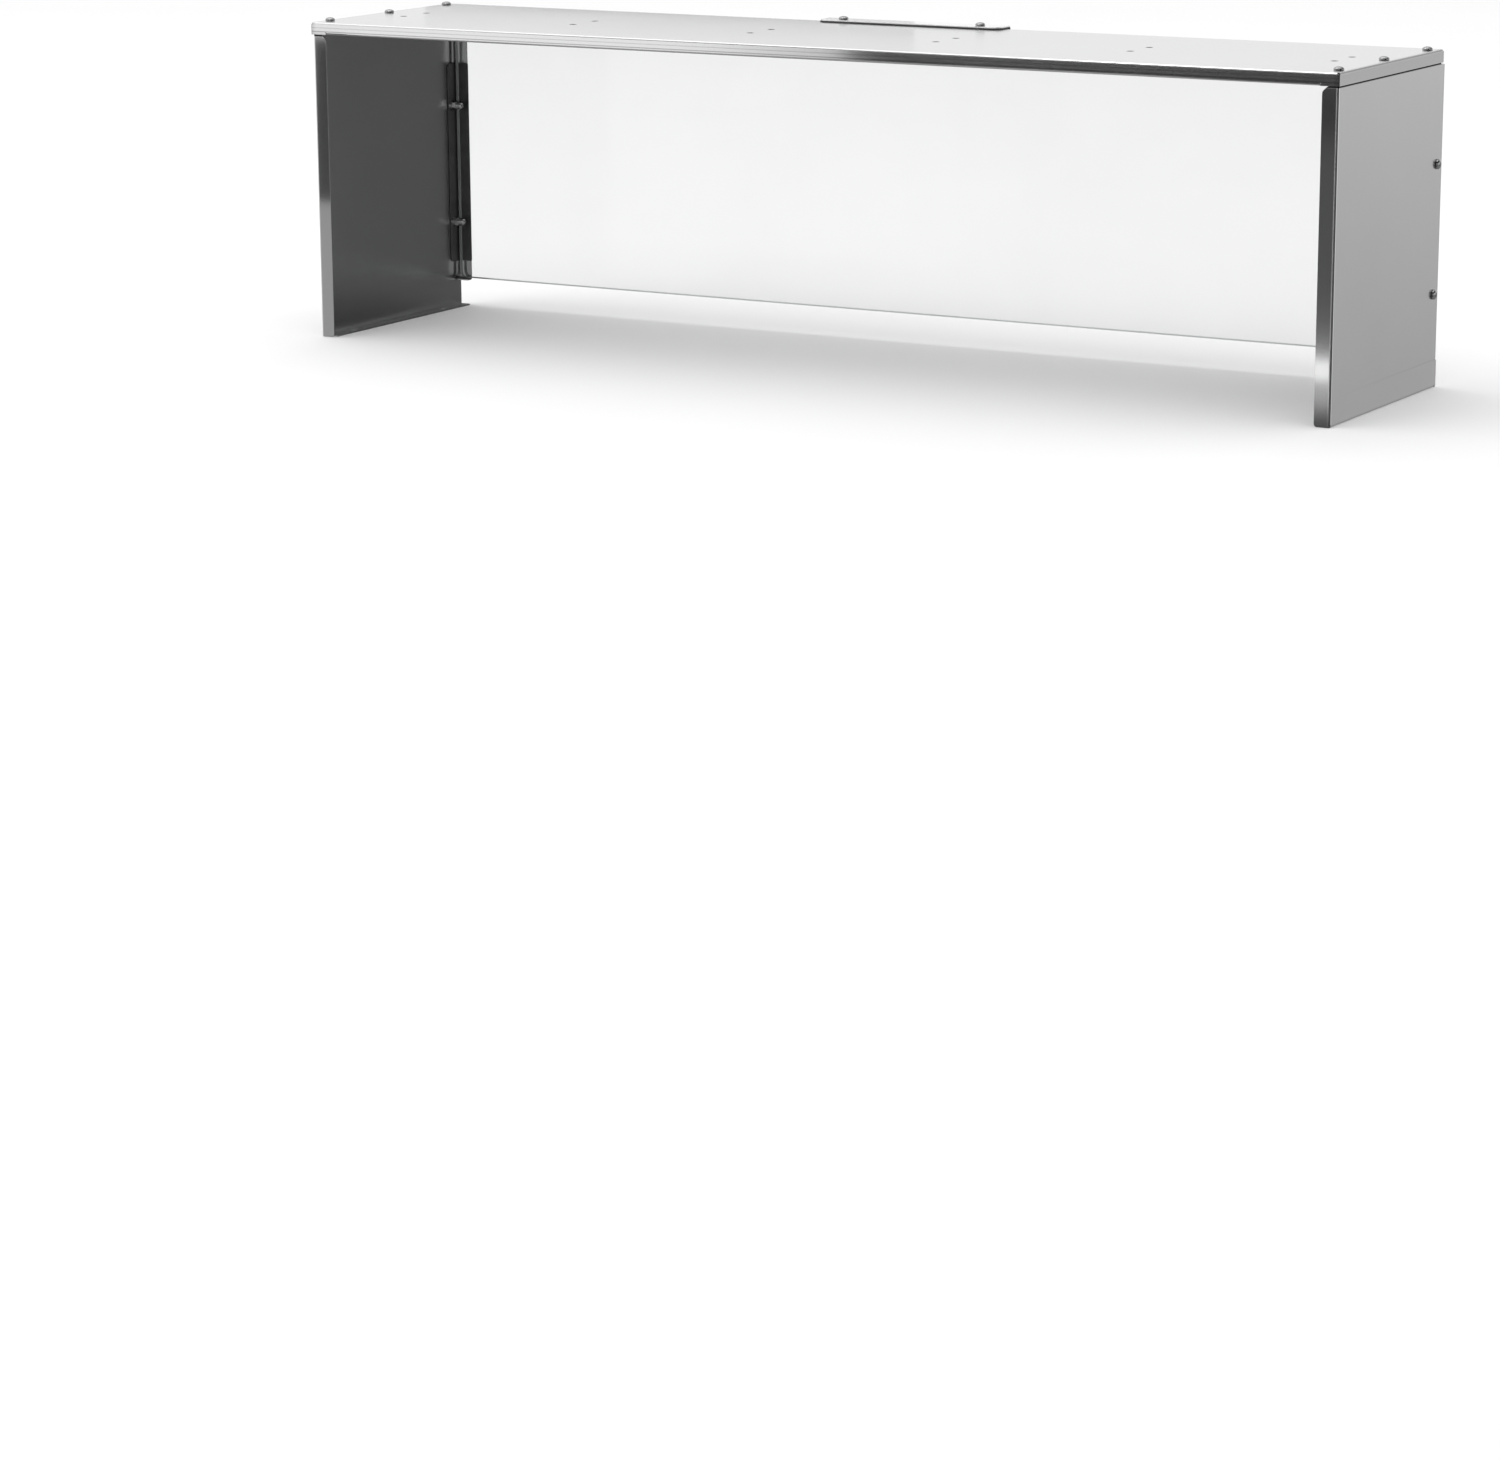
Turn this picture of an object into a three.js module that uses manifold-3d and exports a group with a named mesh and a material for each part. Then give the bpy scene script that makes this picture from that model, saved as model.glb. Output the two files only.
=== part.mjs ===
// Sneeze guard for a three-pan buffet table: a folded sheet top on two folded sheet end panels,
// with a tempered glass screen across the back.
// Millimetres. +Z is up, the counter is z = 0, -Y is the servers' open side, and the origin is
// the middle of the footprint.

import * as THREE from "three";
import { mergeVertices } from "three/addons/utils/BufferGeometryUtils.js";
import Module from "manifold-3d";

const wasm = await Module();
wasm.setup();

// ---- Driving dimensions ----

const LENGTH = 1090; // over the side lips of the top panel
const DEPTH = 250; // from the front lip to the backs of the end panels
const HEIGHT = 312; // from the counter to the upper face of the top panel
const GAP = 0.3; // assembly clearance between neighbouring pieces
const LIP_GAP = 0.4; // between the end panels and the lips that cover them
const PAD_GAP = 0.2; // either side of the rubber
const GRIP_GAP = 0.1; // between the glass and the rubber of the clip

const TOP_SHEET = 1.0;
const TOP_DEPTH = 242;
const LIP_DROP = 12;
const RETURN_DEPTH = 8;
const RETURN_END_INSET = 18;
const TOP_BEND = 2.0;
const CORNER_RELIEF = 2.0;

const SIDE_SHEET = 1.2;
const SIDE_BEND = 2.2;
const FLANGE = 15;
const FLANGE_CHAMFER = 5;
const FOOT_CHAMFER = 3;
const REAR_STEP_DEPTH = 10.5;
const REAR_STEP_DROP = 14;
const TOP_FLANGE_END_GAP = 1;
const REST_SIDE_GAP = 0.5;

const GLASS_THICKNESS = 5;
const GLASS_LENGTH = 1078;
const GLASS_BOTTOM = 29;
const GLASS_TOP = 310.5;
const GLASS_CORNER = 6;

const PAD_THICKNESS = 0.9;
const PAD_SIDE_LEG = 17;
const PAD_REAR_LEG = 15;
const PAD_BOTTOM = 46;
const PAD_TOP = 251;
const PAD_CORNER = 5;
const PAD_INNER_BEND = 0.1;
const REST_DEPTH = 8.8;
const REST_PAD_THICKNESS = 1.2;

const CLIP_LENGTH = 198;
const CLIP_SHEET = 1.2;
const CLIP_LEG_BACK = 22;
const CLIP_FRONT_Y = 100;
const CLIP_CORNER = 8;
const CLIP_INNER_BEND = 1;
const CLIP_PAD_MARGIN = 0.8;

const THREAD_RADIUS = 2.5;
const HOLE_RADIUS = 2.8;
const NUT_BORE_RADIUS = 2.7;
const HEAD_RADIUS = 4.75;
const HEAD_HEIGHT = 3.2;
const HEAD_PROFILE = [
  [1, 0],
  [1, 0.4],
  [0.82, 0.8],
  [0.45, 1],
]; // shares of the head's radius and height
const SHANK_CHAMFER = 0.5;
const SHANK_CHAMFER_LENGTH = 0.8;
const HEX_ACROSS_FLATS = 8;
const HEX_NUT_HEIGHT = 4.2;
const SCREW_LENGTH = 10;
const BOLT_LENGTH = 14;
const WASHER_RADIUS = 5;
const WASHER_THICKNESS = 1;
const SPRING_WASHER_RADIUS = 4.4;
const SPRING_WASHER_THICKNESS = 1.3;
const SPRING_WASHER_SLIT = 0.9;
const DOME_NUT_HEIGHT = 12;
const DOME_NUT_HEX_HEIGHT = 4.6;
const DOME_RADIUS = 3.75;
const DOME_BORE_DEPTH = 9.6;
const FASTENER_GAP = 0.2;

const LAMP_HOLE_RADIUS = 2.5;
const LAMP_HOLE_PITCH = 200;
const LAMP_HOLE_COUNT = 6;
const LAMP_HOLES_FROM_FRONT = [95, 135];
const TOP_SCREW_INSET = 9;
const TOP_SCREWS_FROM_FRONT = { front: 20, middle: 122, rear: 224 };
const CLIP_SCREW_X = 75;
const CLIP_SCREW_FROM_FRONT = 233;
const SIDE_BOLT_FROM_FRONT = 237;
const SIDE_BOLT_HEIGHTS = { upper: 208, lower: 88 };
const FOOT_HOLES_Y = [-80, 80];

const ROUND_SIDES = 16;
const BEND_STEPS = 4;
const FILLET_STEPS = 5;
const HEX_SIDES = 6;
const MERGE_TOLERANCE = 1e-4;
const CUT = 1; // how far a cutter reaches past what it cuts
const SHALLOW_CUT = 0.2; // the same, where another part of the piece is close behind
const TRIM_CORNERS = 4; // corner radii by which a trimming outline overshoots at its plain end

// ---- Derived places ----

const FRONT = -DEPTH / 2;
const BACK = DEPTH / 2;
const TOP_UNDERSIDE = HEIGHT - TOP_SHEET;
const LIP_BOTTOM = HEIGHT - LIP_DROP;
const TOP_BACK = FRONT + TOP_DEPTH;

const SIDE_OUTER_X = LENGTH / 2 - TOP_SHEET - LIP_GAP;
const SIDE_INNER_X = SIDE_OUTER_X - SIDE_SHEET;
const FLANGE_EDGE_X = SIDE_OUTER_X - FLANGE;
const SIDE_FRONT = FRONT + TOP_SHEET + LIP_GAP;
const SIDE_TOP = TOP_UNDERSIDE - GAP;

const PAD_BACK = BACK - SIDE_SHEET - GAP;
const GLASS_BACK = PAD_BACK - PAD_THICKNESS - PAD_GAP;
const GLASS_FRONT = GLASS_BACK - GLASS_THICKNESS;
const REST_TOP = GLASS_BOTTOM - REST_PAD_THICKNESS - 2 * PAD_GAP;

const CLIP_PAD_BOTTOM = HEIGHT + GAP;
const CLIP_PAD_TOP = CLIP_PAD_BOTTOM + PAD_THICKNESS;
const CLIP_TOP = CLIP_PAD_TOP + PAD_GAP + CLIP_SHEET;
const CLIP_PAD_BACK = GLASS_BACK + GRIP_GAP + PAD_THICKNESS;
const CLIP_BACK = CLIP_PAD_BACK + PAD_GAP + CLIP_SHEET;

// ---- Materials ----

const brushedSteel = new THREE.MeshStandardMaterial({
  color: 0xc6c7c9,
  roughness: 0.38,
  metalness: 1,
});
const clearGlass = new THREE.MeshStandardMaterial({
  color: 0xe4efec,
  roughness: 0.03,
  metalness: 0,
  transparent: true,
  opacity: 0.25,
});
const blackRubber = new THREE.MeshStandardMaterial({
  color: 0x151515,
  roughness: 0.8,
  metalness: 0,
});
const brightSteel = new THREE.MeshStandardMaterial({
  color: 0xd8d9db,
  roughness: 0.16,
  metalness: 1,
});

// ---- Solids ----

// A closed three.js geometry as a solid that can be joined and cut.
function solidFrom(geometry) {
  const bare = geometry.clone();
  bare.deleteAttribute("normal");
  bare.deleteAttribute("uv");
  const merged = mergeVertices(bare, MERGE_TOLERANCE);
  const mesh = new wasm.Mesh({
    numProp: 3,
    vertProperties: new Float32Array(merged.attributes.position.array),
    triVerts: new Uint32Array(merged.index.array),
  });
  return new wasm.Manifold(mesh);
}

function geometryFrom(solid) {
  const mesh = solid.getMesh();
  const geometry = new THREE.BufferGeometry();
  geometry.setAttribute("position", new THREE.BufferAttribute(mesh.vertProperties, 3));
  geometry.setIndex(new THREE.BufferAttribute(mesh.triVerts, 1));
  geometry.computeVertexNormals();
  return geometry;
}

function joined(solids) {
  return solids.reduce((whole, solid) => whole.add(solid));
}

function cutBy(solid, cutters) {
  return cutters.reduce((rest, cutter) => rest.subtract(cutter), solid);
}

// A block between two opposite corners.
function block([x0, y0, z0], [x1, y1, z1]) {
  const geometry = new THREE.BoxGeometry(x1 - x0, y1 - y0, z1 - z0);
  geometry.translate((x0 + x1) / 2, (y0 + y1) / 2, (z0 + z1) / 2);
  return solidFrom(geometry);
}

function extruded(outline, depth) {
  return new THREE.ExtrudeGeometry(outline, {
    depth,
    bevelEnabled: false,
    curveSegments: FILLET_STEPS,
  });
}

// Along +Z, from an outline in X and Y.
function extrudedUp(outline, z0, z1) {
  return solidFrom(extruded(outline, z1 - z0).translate(0, 0, z0));
}

// Along +X, from an outline in Y and Z.
function extrudedAcross(outline, x0, x1) {
  const turn = new THREE.Matrix4().set(0, 0, 1, x0, 1, 0, 0, 0, 0, 1, 0, 0, 0, 0, 0, 1);
  return solidFrom(extruded(outline, x1 - x0).applyMatrix4(turn));
}

// Along +Y, from an outline in X and Z.
function extrudedBack(outline, y0, y1) {
  const turn = new THREE.Matrix4().set(1, 0, 0, 0, 0, 0, -1, y1, 0, 1, 0, 0, 0, 0, 0, 1);
  return solidFrom(extruded(outline, y1 - y0).applyMatrix4(turn));
}

// The corners of an open path, with each inner one rounded by an arc.
function roundedPath(corners, radius) {
  const points = [corners[0]];
  for (let i = 1; i < corners.length - 1; i += 1) {
    const before = corners[i - 1].clone().sub(corners[i]).normalize();
    const after = corners[i + 1].clone().sub(corners[i]).normalize();
    const centre = corners[i].clone().add(before.clone().add(after).multiplyScalar(radius));
    const start = corners[i].clone().addScaledVector(before, radius).sub(centre);
    const turn = Math.sign(after.cross(before)) * (-Math.PI / 2);
    for (let step = 0; step <= BEND_STEPS; step += 1) {
      const swing = start.clone().rotateAround(new THREE.Vector2(), (-turn * step) / BEND_STEPS);
      points.push(centre.clone().add(swing));
    }
  }
  points.push(corners[corners.length - 1]);
  return points;
}

// The same path moved to its left by a distance, for paths whose corners are all square.
function insetPath(corners, distance) {
  return corners.map((corner, i) => {
    const moved = corner.clone();
    const neighbours = [
      [corners[i - 1], corner],
      [corner, corners[i + 1]],
    ];
    for (const [from, to] of neighbours) {
      if (!from || !to) continue;
      const along = to.clone().sub(from).normalize();
      moved.add(new THREE.Vector2(-along.y, along.x).multiplyScalar(distance));
    }
    return moved;
  });
}

// The section of a folded sheet. Its corners are given along the outer face, anticlockwise.
function foldedSection(cornerPairs, thickness, outerRadius) {
  const corners = cornerPairs.map(([x, y]) => new THREE.Vector2(x, y));
  const outer = roundedPath(corners, outerRadius);
  const inner = roundedPath(insetPath(corners, thickness), outerRadius - thickness);
  return new THREE.Shape([...outer, ...inner.reverse()]);
}

function roundedRectangle(x0, y0, x1, y1, radius) {
  const shape = new THREE.Shape();
  shape.moveTo(x0 + radius, y0);
  shape.lineTo(x1 - radius, y0);
  shape.absarc(x1 - radius, y0 + radius, radius, -Math.PI / 2, 0, false);
  shape.lineTo(x1, y1 - radius);
  shape.absarc(x1 - radius, y1 - radius, radius, 0, Math.PI / 2, false);
  shape.lineTo(x0 + radius, y1);
  shape.absarc(x0 + radius, y1 - radius, radius, Math.PI / 2, Math.PI, false);
  shape.lineTo(x0, y0 + radius);
  shape.absarc(x0 + radius, y0 + radius, radius, Math.PI, Math.PI * 1.5, false);
  return shape;
}

// A round rod along Z or along X.
function rodUp(x, y, z0, z1, radius) {
  const geometry = new THREE.CylinderGeometry(radius, radius, z1 - z0, ROUND_SIDES);
  geometry.rotateX(Math.PI / 2);
  geometry.translate(x, y, (z0 + z1) / 2);
  return solidFrom(geometry);
}

function rodAcross(y, z, x0, x1, radius) {
  const geometry = new THREE.CylinderGeometry(radius, radius, x1 - x0, ROUND_SIDES);
  geometry.rotateZ(Math.PI / 2);
  geometry.translate((x0 + x1) / 2, y, z);
  return solidFrom(geometry);
}

// A solid of revolution about Z from [radius, height] pairs that start and end on the axis.
function turned(profile) {
  const points = profile.map(([radius, height]) => new THREE.Vector2(radius, height));
  const geometry = new THREE.LatheGeometry(points, ROUND_SIDES);
  geometry.rotateX(Math.PI / 2);
  return solidFrom(geometry);
}

function hexPrism(z0, z1) {
  const radius = HEX_ACROSS_FLATS / Math.sqrt(3);
  const geometry = new THREE.CylinderGeometry(radius, radius, z1 - z0, HEX_SIDES);
  geometry.rotateX(Math.PI / 2);
  geometry.translate(0, 0, (z0 + z1) / 2);
  return solidFrom(geometry);
}

// ---- Fasteners, each standing on z = 0 with its axis up ----

// A pan head whose underside is z = 0, with its shank below.
function panScrewSolid(shankLength) {
  return turned([
    [0, -shankLength],
    [THREAD_RADIUS - SHANK_CHAMFER, -shankLength],
    [THREAD_RADIUS, -shankLength + SHANK_CHAMFER_LENGTH],
    [THREAD_RADIUS, 0],
    ...HEAD_PROFILE.map(([across, up]) => [HEAD_RADIUS * across, HEAD_HEIGHT * up]),
    [0, HEAD_HEIGHT],
  ]);
}

function hexNutSolid() {
  const bore = rodUp(0, 0, -CUT, HEX_NUT_HEIGHT + CUT, NUT_BORE_RADIUS);
  return hexPrism(0, HEX_NUT_HEIGHT).subtract(bore);
}

function domeNutSolid() {
  const shoulder = DOME_NUT_HEX_HEIGHT;
  const domeStart = DOME_NUT_HEIGHT - DOME_RADIUS;
  const dome = [];
  for (let step = 0; step <= BEND_STEPS; step += 1) {
    const angle = ((Math.PI / 2) * step) / BEND_STEPS;
    dome.push([DOME_RADIUS * Math.cos(angle), domeStart + DOME_RADIUS * Math.sin(angle)]);
  }
  dome[dome.length - 1][0] = 0;
  const crown = turned([[0, shoulder - CUT], [DOME_RADIUS, shoulder - CUT], ...dome]);
  const bore = rodUp(0, 0, -CUT, DOME_BORE_DEPTH, NUT_BORE_RADIUS);
  return hexPrism(0, shoulder).add(crown).subtract(bore);
}

function flatWasherSolid() {
  const bore = rodUp(0, 0, -CUT, WASHER_THICKNESS + CUT, HOLE_RADIUS);
  return rodUp(0, 0, 0, WASHER_THICKNESS, WASHER_RADIUS).subtract(bore);
}

function springWasherSolid() {
  const bore = rodUp(0, 0, -CUT, SPRING_WASHER_THICKNESS + CUT, HOLE_RADIUS);
  const slit = block(
    [0, -SPRING_WASHER_SLIT / 2, -CUT],
    [SPRING_WASHER_RADIUS + CUT, SPRING_WASHER_SLIT / 2, SPRING_WASHER_THICKNESS + CUT],
  );
  const ring = rodUp(0, 0, 0, SPRING_WASHER_THICKNESS, SPRING_WASHER_RADIUS);
  return cutBy(ring, [bore, slit]);
}

// ---- Sheet metal ----

function topPanelSolid() {
  const section = foldedSection(
    [
      [TOP_BACK, LIP_BOTTOM],
      [TOP_BACK, HEIGHT],
      [FRONT, HEIGHT],
      [FRONT, LIP_BOTTOM],
    ],
    TOP_SHEET,
    TOP_BEND,
  );
  const halfLength = LENGTH / 2;
  const shell = extrudedAcross(section, -halfLength + CORNER_RELIEF, halfLength - CORNER_RELIEF);
  const lipStart = FRONT + CORNER_RELIEF;
  const lipEnd = TOP_BACK - CORNER_RELIEF;
  const rightLip = extrudedBack(
    foldedSection(
      [
        [halfLength, LIP_BOTTOM],
        [halfLength, HEIGHT],
        [halfLength - FLANGE, HEIGHT],
      ],
      TOP_SHEET,
      TOP_BEND,
    ),
    lipStart,
    lipEnd,
  );
  const returnX = halfLength - RETURN_END_INSET;
  const frontReturn = block(
    [-returnX, FRONT + TOP_SHEET / 2, LIP_BOTTOM],
    [returnX, FRONT + RETURN_DEPTH, LIP_BOTTOM + TOP_SHEET],
  );
  const leftLip = rightLip.mirror([1, 0, 0]);
  const sheet = joined([shell, rightLip, leftLip, frontReturn]);

  const holes = [];
  const drill = (x, fromFront, radius) =>
    holes.push(rodUp(x, FRONT + fromFront, TOP_UNDERSIDE - CUT, HEIGHT + CUT, radius));
  for (let i = 0; i < LAMP_HOLE_COUNT; i += 1) {
    const x = (i - (LAMP_HOLE_COUNT - 1) / 2) * LAMP_HOLE_PITCH;
    LAMP_HOLES_FROM_FRONT.forEach((fromFront) => drill(x, fromFront, LAMP_HOLE_RADIUS));
  }
  for (const side of [-1, 1]) {
    for (const fromFront of Object.values(TOP_SCREWS_FROM_FRONT)) {
      drill(side * (halfLength - TOP_SCREW_INSET), fromFront, HOLE_RADIUS);
    }
    drill(side * CLIP_SCREW_X, CLIP_SCREW_FROM_FRONT, HOLE_RADIUS);
  }
  return cutBy(sheet, holes);
}

// The right-hand end panel. The left one is its mirror image.
function endPanelSolid() {
  const section = foldedSection(
    [
      [FLANGE_EDGE_X, SIDE_FRONT],
      [SIDE_OUTER_X, SIDE_FRONT],
      [SIDE_OUTER_X, BACK],
      [FLANGE_EDGE_X, BACK],
    ],
    SIDE_SHEET,
    SIDE_BEND,
  );
  const channel = extrudedUp(section, 0, SIDE_TOP);
  const stepY = BACK - REAR_STEP_DEPTH;
  const inwardX = SIDE_OUTER_X - SIDE_SHEET / 2;
  const topFlange = block(
    [FLANGE_EDGE_X, SIDE_FRONT + SIDE_BEND, SIDE_TOP - SIDE_SHEET],
    [inwardX, stepY - TOP_FLANGE_END_GAP, SIDE_TOP],
  );
  const footFlange = block(
    [FLANGE_EDGE_X, SIDE_FRONT + SIDE_BEND, 0],
    [inwardX, BACK - SIDE_BEND, SIDE_SHEET],
  );
  const glassRest = block(
    [FLANGE_EDGE_X, BACK - REST_DEPTH, REST_TOP - SIDE_SHEET],
    [SIDE_INNER_X - REST_SIDE_GAP, BACK - SIDE_SHEET / 2, REST_TOP],
  );

  const frontFlangeY = [SIDE_FRONT - CUT, SIDE_FRONT + SIDE_SHEET + SHALLOW_CUT];
  const chamferTop = new THREE.Shape([
    new THREE.Vector2(FLANGE_EDGE_X - CUT, LIP_BOTTOM - FLANGE_CHAMFER - CUT),
    new THREE.Vector2(FLANGE_EDGE_X + FLANGE_CHAMFER, LIP_BOTTOM),
    new THREE.Vector2(SIDE_OUTER_X - SIDE_BEND, LIP_BOTTOM),
    new THREE.Vector2(SIDE_OUTER_X - SIDE_BEND, SIDE_TOP - SIDE_SHEET - CUT),
    new THREE.Vector2(FLANGE_EDGE_X - CUT, SIDE_TOP - SIDE_SHEET - CUT),
  ]);
  const chamferFoot = new THREE.Shape([
    new THREE.Vector2(FLANGE_EDGE_X - CUT, -CUT),
    new THREE.Vector2(FLANGE_EDGE_X + FOOT_CHAMFER + CUT, -CUT),
    new THREE.Vector2(FLANGE_EDGE_X - CUT, FOOT_CHAMFER + CUT),
  ]);
  const rearStep = block(
    [FLANGE_EDGE_X - CUT, stepY, HEIGHT - REAR_STEP_DROP],
    [SIDE_OUTER_X + CUT, BACK + CUT, HEIGHT],
  );
  const belowRest = block(
    [FLANGE_EDGE_X - CUT, BACK - SIDE_BEND, -CUT],
    [SIDE_INNER_X, BACK + CUT, REST_TOP - SIDE_SHEET],
  );

  const cuts = [
    extrudedBack(chamferTop, ...frontFlangeY),
    extrudedBack(chamferFoot, ...frontFlangeY),
    rearStep,
    belowRest,
  ];
  for (const height of Object.values(SIDE_BOLT_HEIGHTS)) {
    const y = FRONT + SIDE_BOLT_FROM_FRONT;
    cuts.push(rodAcross(y, height, SIDE_INNER_X - CUT, SIDE_OUTER_X + CUT, HOLE_RADIUS));
  }
  for (const fromFront of Object.values(TOP_SCREWS_FROM_FRONT)) {
    const x = LENGTH / 2 - TOP_SCREW_INSET;
    const y = FRONT + fromFront;
    cuts.push(rodUp(x, y, SIDE_TOP - SIDE_SHEET - CUT, SIDE_TOP + CUT, HOLE_RADIUS));
  }
  const footHoleX = (FLANGE_EDGE_X + SIDE_INNER_X) / 2;
  for (const y of FOOT_HOLES_Y) {
    cuts.push(rodUp(footHoleX, y, -CUT, SIDE_SHEET + CUT, HOLE_RADIUS));
  }
  return cutBy(joined([channel, topFlange, footFlange, glassRest]), cuts);
}

// The plate over the glass's top edge, or the rubber under it, larger by a margin. One leg lies on
// the top panel, and the other hangs behind the glass.
function clipSolid(backY, topZ, thickness, margin) {
  const halfLength = CLIP_LENGTH / 2 + margin;
  const frontY = CLIP_FRONT_Y - margin;
  const legBottom = topZ - CLIP_LEG_BACK;
  const section = foldedSection(
    [
      [backY, legBottom],
      [backY, topZ],
      [frontY, topZ],
    ],
    thickness,
    thickness + CLIP_INNER_BEND,
  );
  const strip = extrudedAcross(section, -halfLength, halfLength);
  const planBack = BACK + TRIM_CORNERS * CLIP_CORNER;
  const plan = roundedRectangle(-halfLength, frontY, halfLength, planBack, CLIP_CORNER);
  const trimmed = strip.intersect(extrudedUp(plan, legBottom - CUT, topZ + CUT));
  const holeY = FRONT + CLIP_SCREW_FROM_FRONT;
  const holes = [-1, 1].map((side) =>
    rodUp(side * CLIP_SCREW_X, holeY, HEIGHT - CUT, CLIP_TOP + CUT, HOLE_RADIUS),
  );
  return cutBy(trimmed, holes);
}

// ---- Glass and rubber ----

function glassSolid() {
  const half = GLASS_LENGTH / 2;
  const outline = roundedRectangle(-half, GLASS_BOTTOM, half, GLASS_TOP, GLASS_CORNER);
  return extrudedBack(outline, GLASS_FRONT, GLASS_BACK);
}

// The right-hand angle strip between the glass and the end panel.
function glassPadSolid() {
  const outerX = SIDE_INNER_X - GAP;
  const section = foldedSection(
    [
      [outerX, PAD_BACK - PAD_SIDE_LEG],
      [outerX, PAD_BACK],
      [outerX - PAD_REAR_LEG, PAD_BACK],
    ],
    PAD_THICKNESS,
    PAD_THICKNESS + PAD_INNER_BEND,
  );
  const strip = extrudedUp(section, PAD_BOTTOM, PAD_TOP);
  const side = roundedRectangle(
    PAD_BACK - PAD_SIDE_LEG,
    PAD_BOTTOM,
    PAD_BACK + TRIM_CORNERS * PAD_CORNER,
    PAD_TOP,
    PAD_CORNER,
  );
  const trimmed = strip.intersect(extrudedAcross(side, outerX - PAD_REAR_LEG - CUT, outerX + CUT));
  const holeY = FRONT + SIDE_BOLT_FROM_FRONT;
  const holes = Object.values(SIDE_BOLT_HEIGHTS).map((height) =>
    rodAcross(holeY, height, outerX - PAD_THICKNESS - CUT, outerX + CUT, HOLE_RADIUS),
  );
  return cutBy(trimmed, holes);
}

function restPadSolid() {
  const bottom = REST_TOP + PAD_GAP;
  const outerX = SIDE_INNER_X - REST_SIDE_GAP - PAD_GAP;
  return block(
    [FLANGE_EDGE_X + PAD_GAP, BACK - REST_DEPTH + GAP, bottom],
    [outerX, PAD_BACK, bottom + REST_PAD_THICKNESS],
  );
}

// ---- Assembly ----

const guard = new THREE.Group();

function addPiece(name, solid, material, placement = new THREE.Matrix4()) {
  const mesh = new THREE.Mesh(geometryFrom(solid), material);
  mesh.name = name;
  mesh.applyMatrix4(placement);
  guard.add(mesh);
}

// Places a fastener whose axis is up: its foot at (x, y, z), and its top turned towards `way`.
function placed(x, y, z, way) {
  const turn = new THREE.Quaternion().setFromUnitVectors(new THREE.Vector3(0, 0, 1), way);
  return new THREE.Matrix4().compose(new THREE.Vector3(x, y, z), turn, new THREE.Vector3(1, 1, 1));
}

const UP = new THREE.Vector3(0, 0, 1);
const DOWN = new THREE.Vector3(0, 0, -1);

function addSheetMetal() {
  const endPanel = endPanelSolid();
  addPiece("top_panel", topPanelSolid(), brushedSteel);
  addPiece("right_end_panel", endPanel, brushedSteel);
  addPiece("left_end_panel", endPanel.mirror([1, 0, 0]), brushedSteel);
}

function addGlassAndPads() {
  const pad = glassPadSolid();
  const rest = restPadSolid();
  addPiece("glass_screen", glassSolid(), clearGlass);
  addPiece("right_glass_pad", pad, blackRubber);
  addPiece("left_glass_pad", pad.mirror([1, 0, 0]), blackRubber);
  addPiece("right_rest_pad", rest, blackRubber);
  addPiece("left_rest_pad", rest.mirror([1, 0, 0]), blackRubber);
  addPiece("top_clip", clipSolid(CLIP_BACK, CLIP_TOP, CLIP_SHEET, 0), brushedSteel);
  const clipPad = clipSolid(CLIP_PAD_BACK, CLIP_PAD_TOP, PAD_THICKNESS, CLIP_PAD_MARGIN);
  addPiece("top_clip_pad", clipPad, blackRubber);
}

function addTopScrews() {
  const screw = panScrewSolid(SCREW_LENGTH);
  const nut = hexNutSolid();
  const nutTop = SIDE_TOP - SIDE_SHEET - FASTENER_GAP;
  for (const [sideName, side] of [
    ["left", -1],
    ["right", 1],
  ]) {
    const x = side * (LENGTH / 2 - TOP_SCREW_INSET);
    for (const [row, fromFront] of Object.entries(TOP_SCREWS_FROM_FRONT)) {
      const y = FRONT + fromFront;
      const head = placed(x, y, HEIGHT + FASTENER_GAP, UP);
      addPiece(`top_screw_${sideName}_${row}`, screw, brightSteel, head);
      addPiece(`top_nut_${sideName}_${row}`, nut, brightSteel, placed(x, y, nutTop, DOWN));
    }
  }
}

function addClipScrews() {
  const screw = panScrewSolid(SCREW_LENGTH);
  const nut = hexNutSolid();
  const y = FRONT + CLIP_SCREW_FROM_FRONT;
  for (const [sideName, side] of [
    ["left", -1],
    ["right", 1],
  ]) {
    const x = side * CLIP_SCREW_X;
    const nutTop = TOP_UNDERSIDE - FASTENER_GAP;
    addPiece(`clip_screw_${sideName}`, screw, brightSteel, placed(x, y, CLIP_TOP + FASTENER_GAP, UP));
    addPiece(`clip_nut_${sideName}`, nut, brightSteel, placed(x, y, nutTop, DOWN));
  }
}

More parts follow.
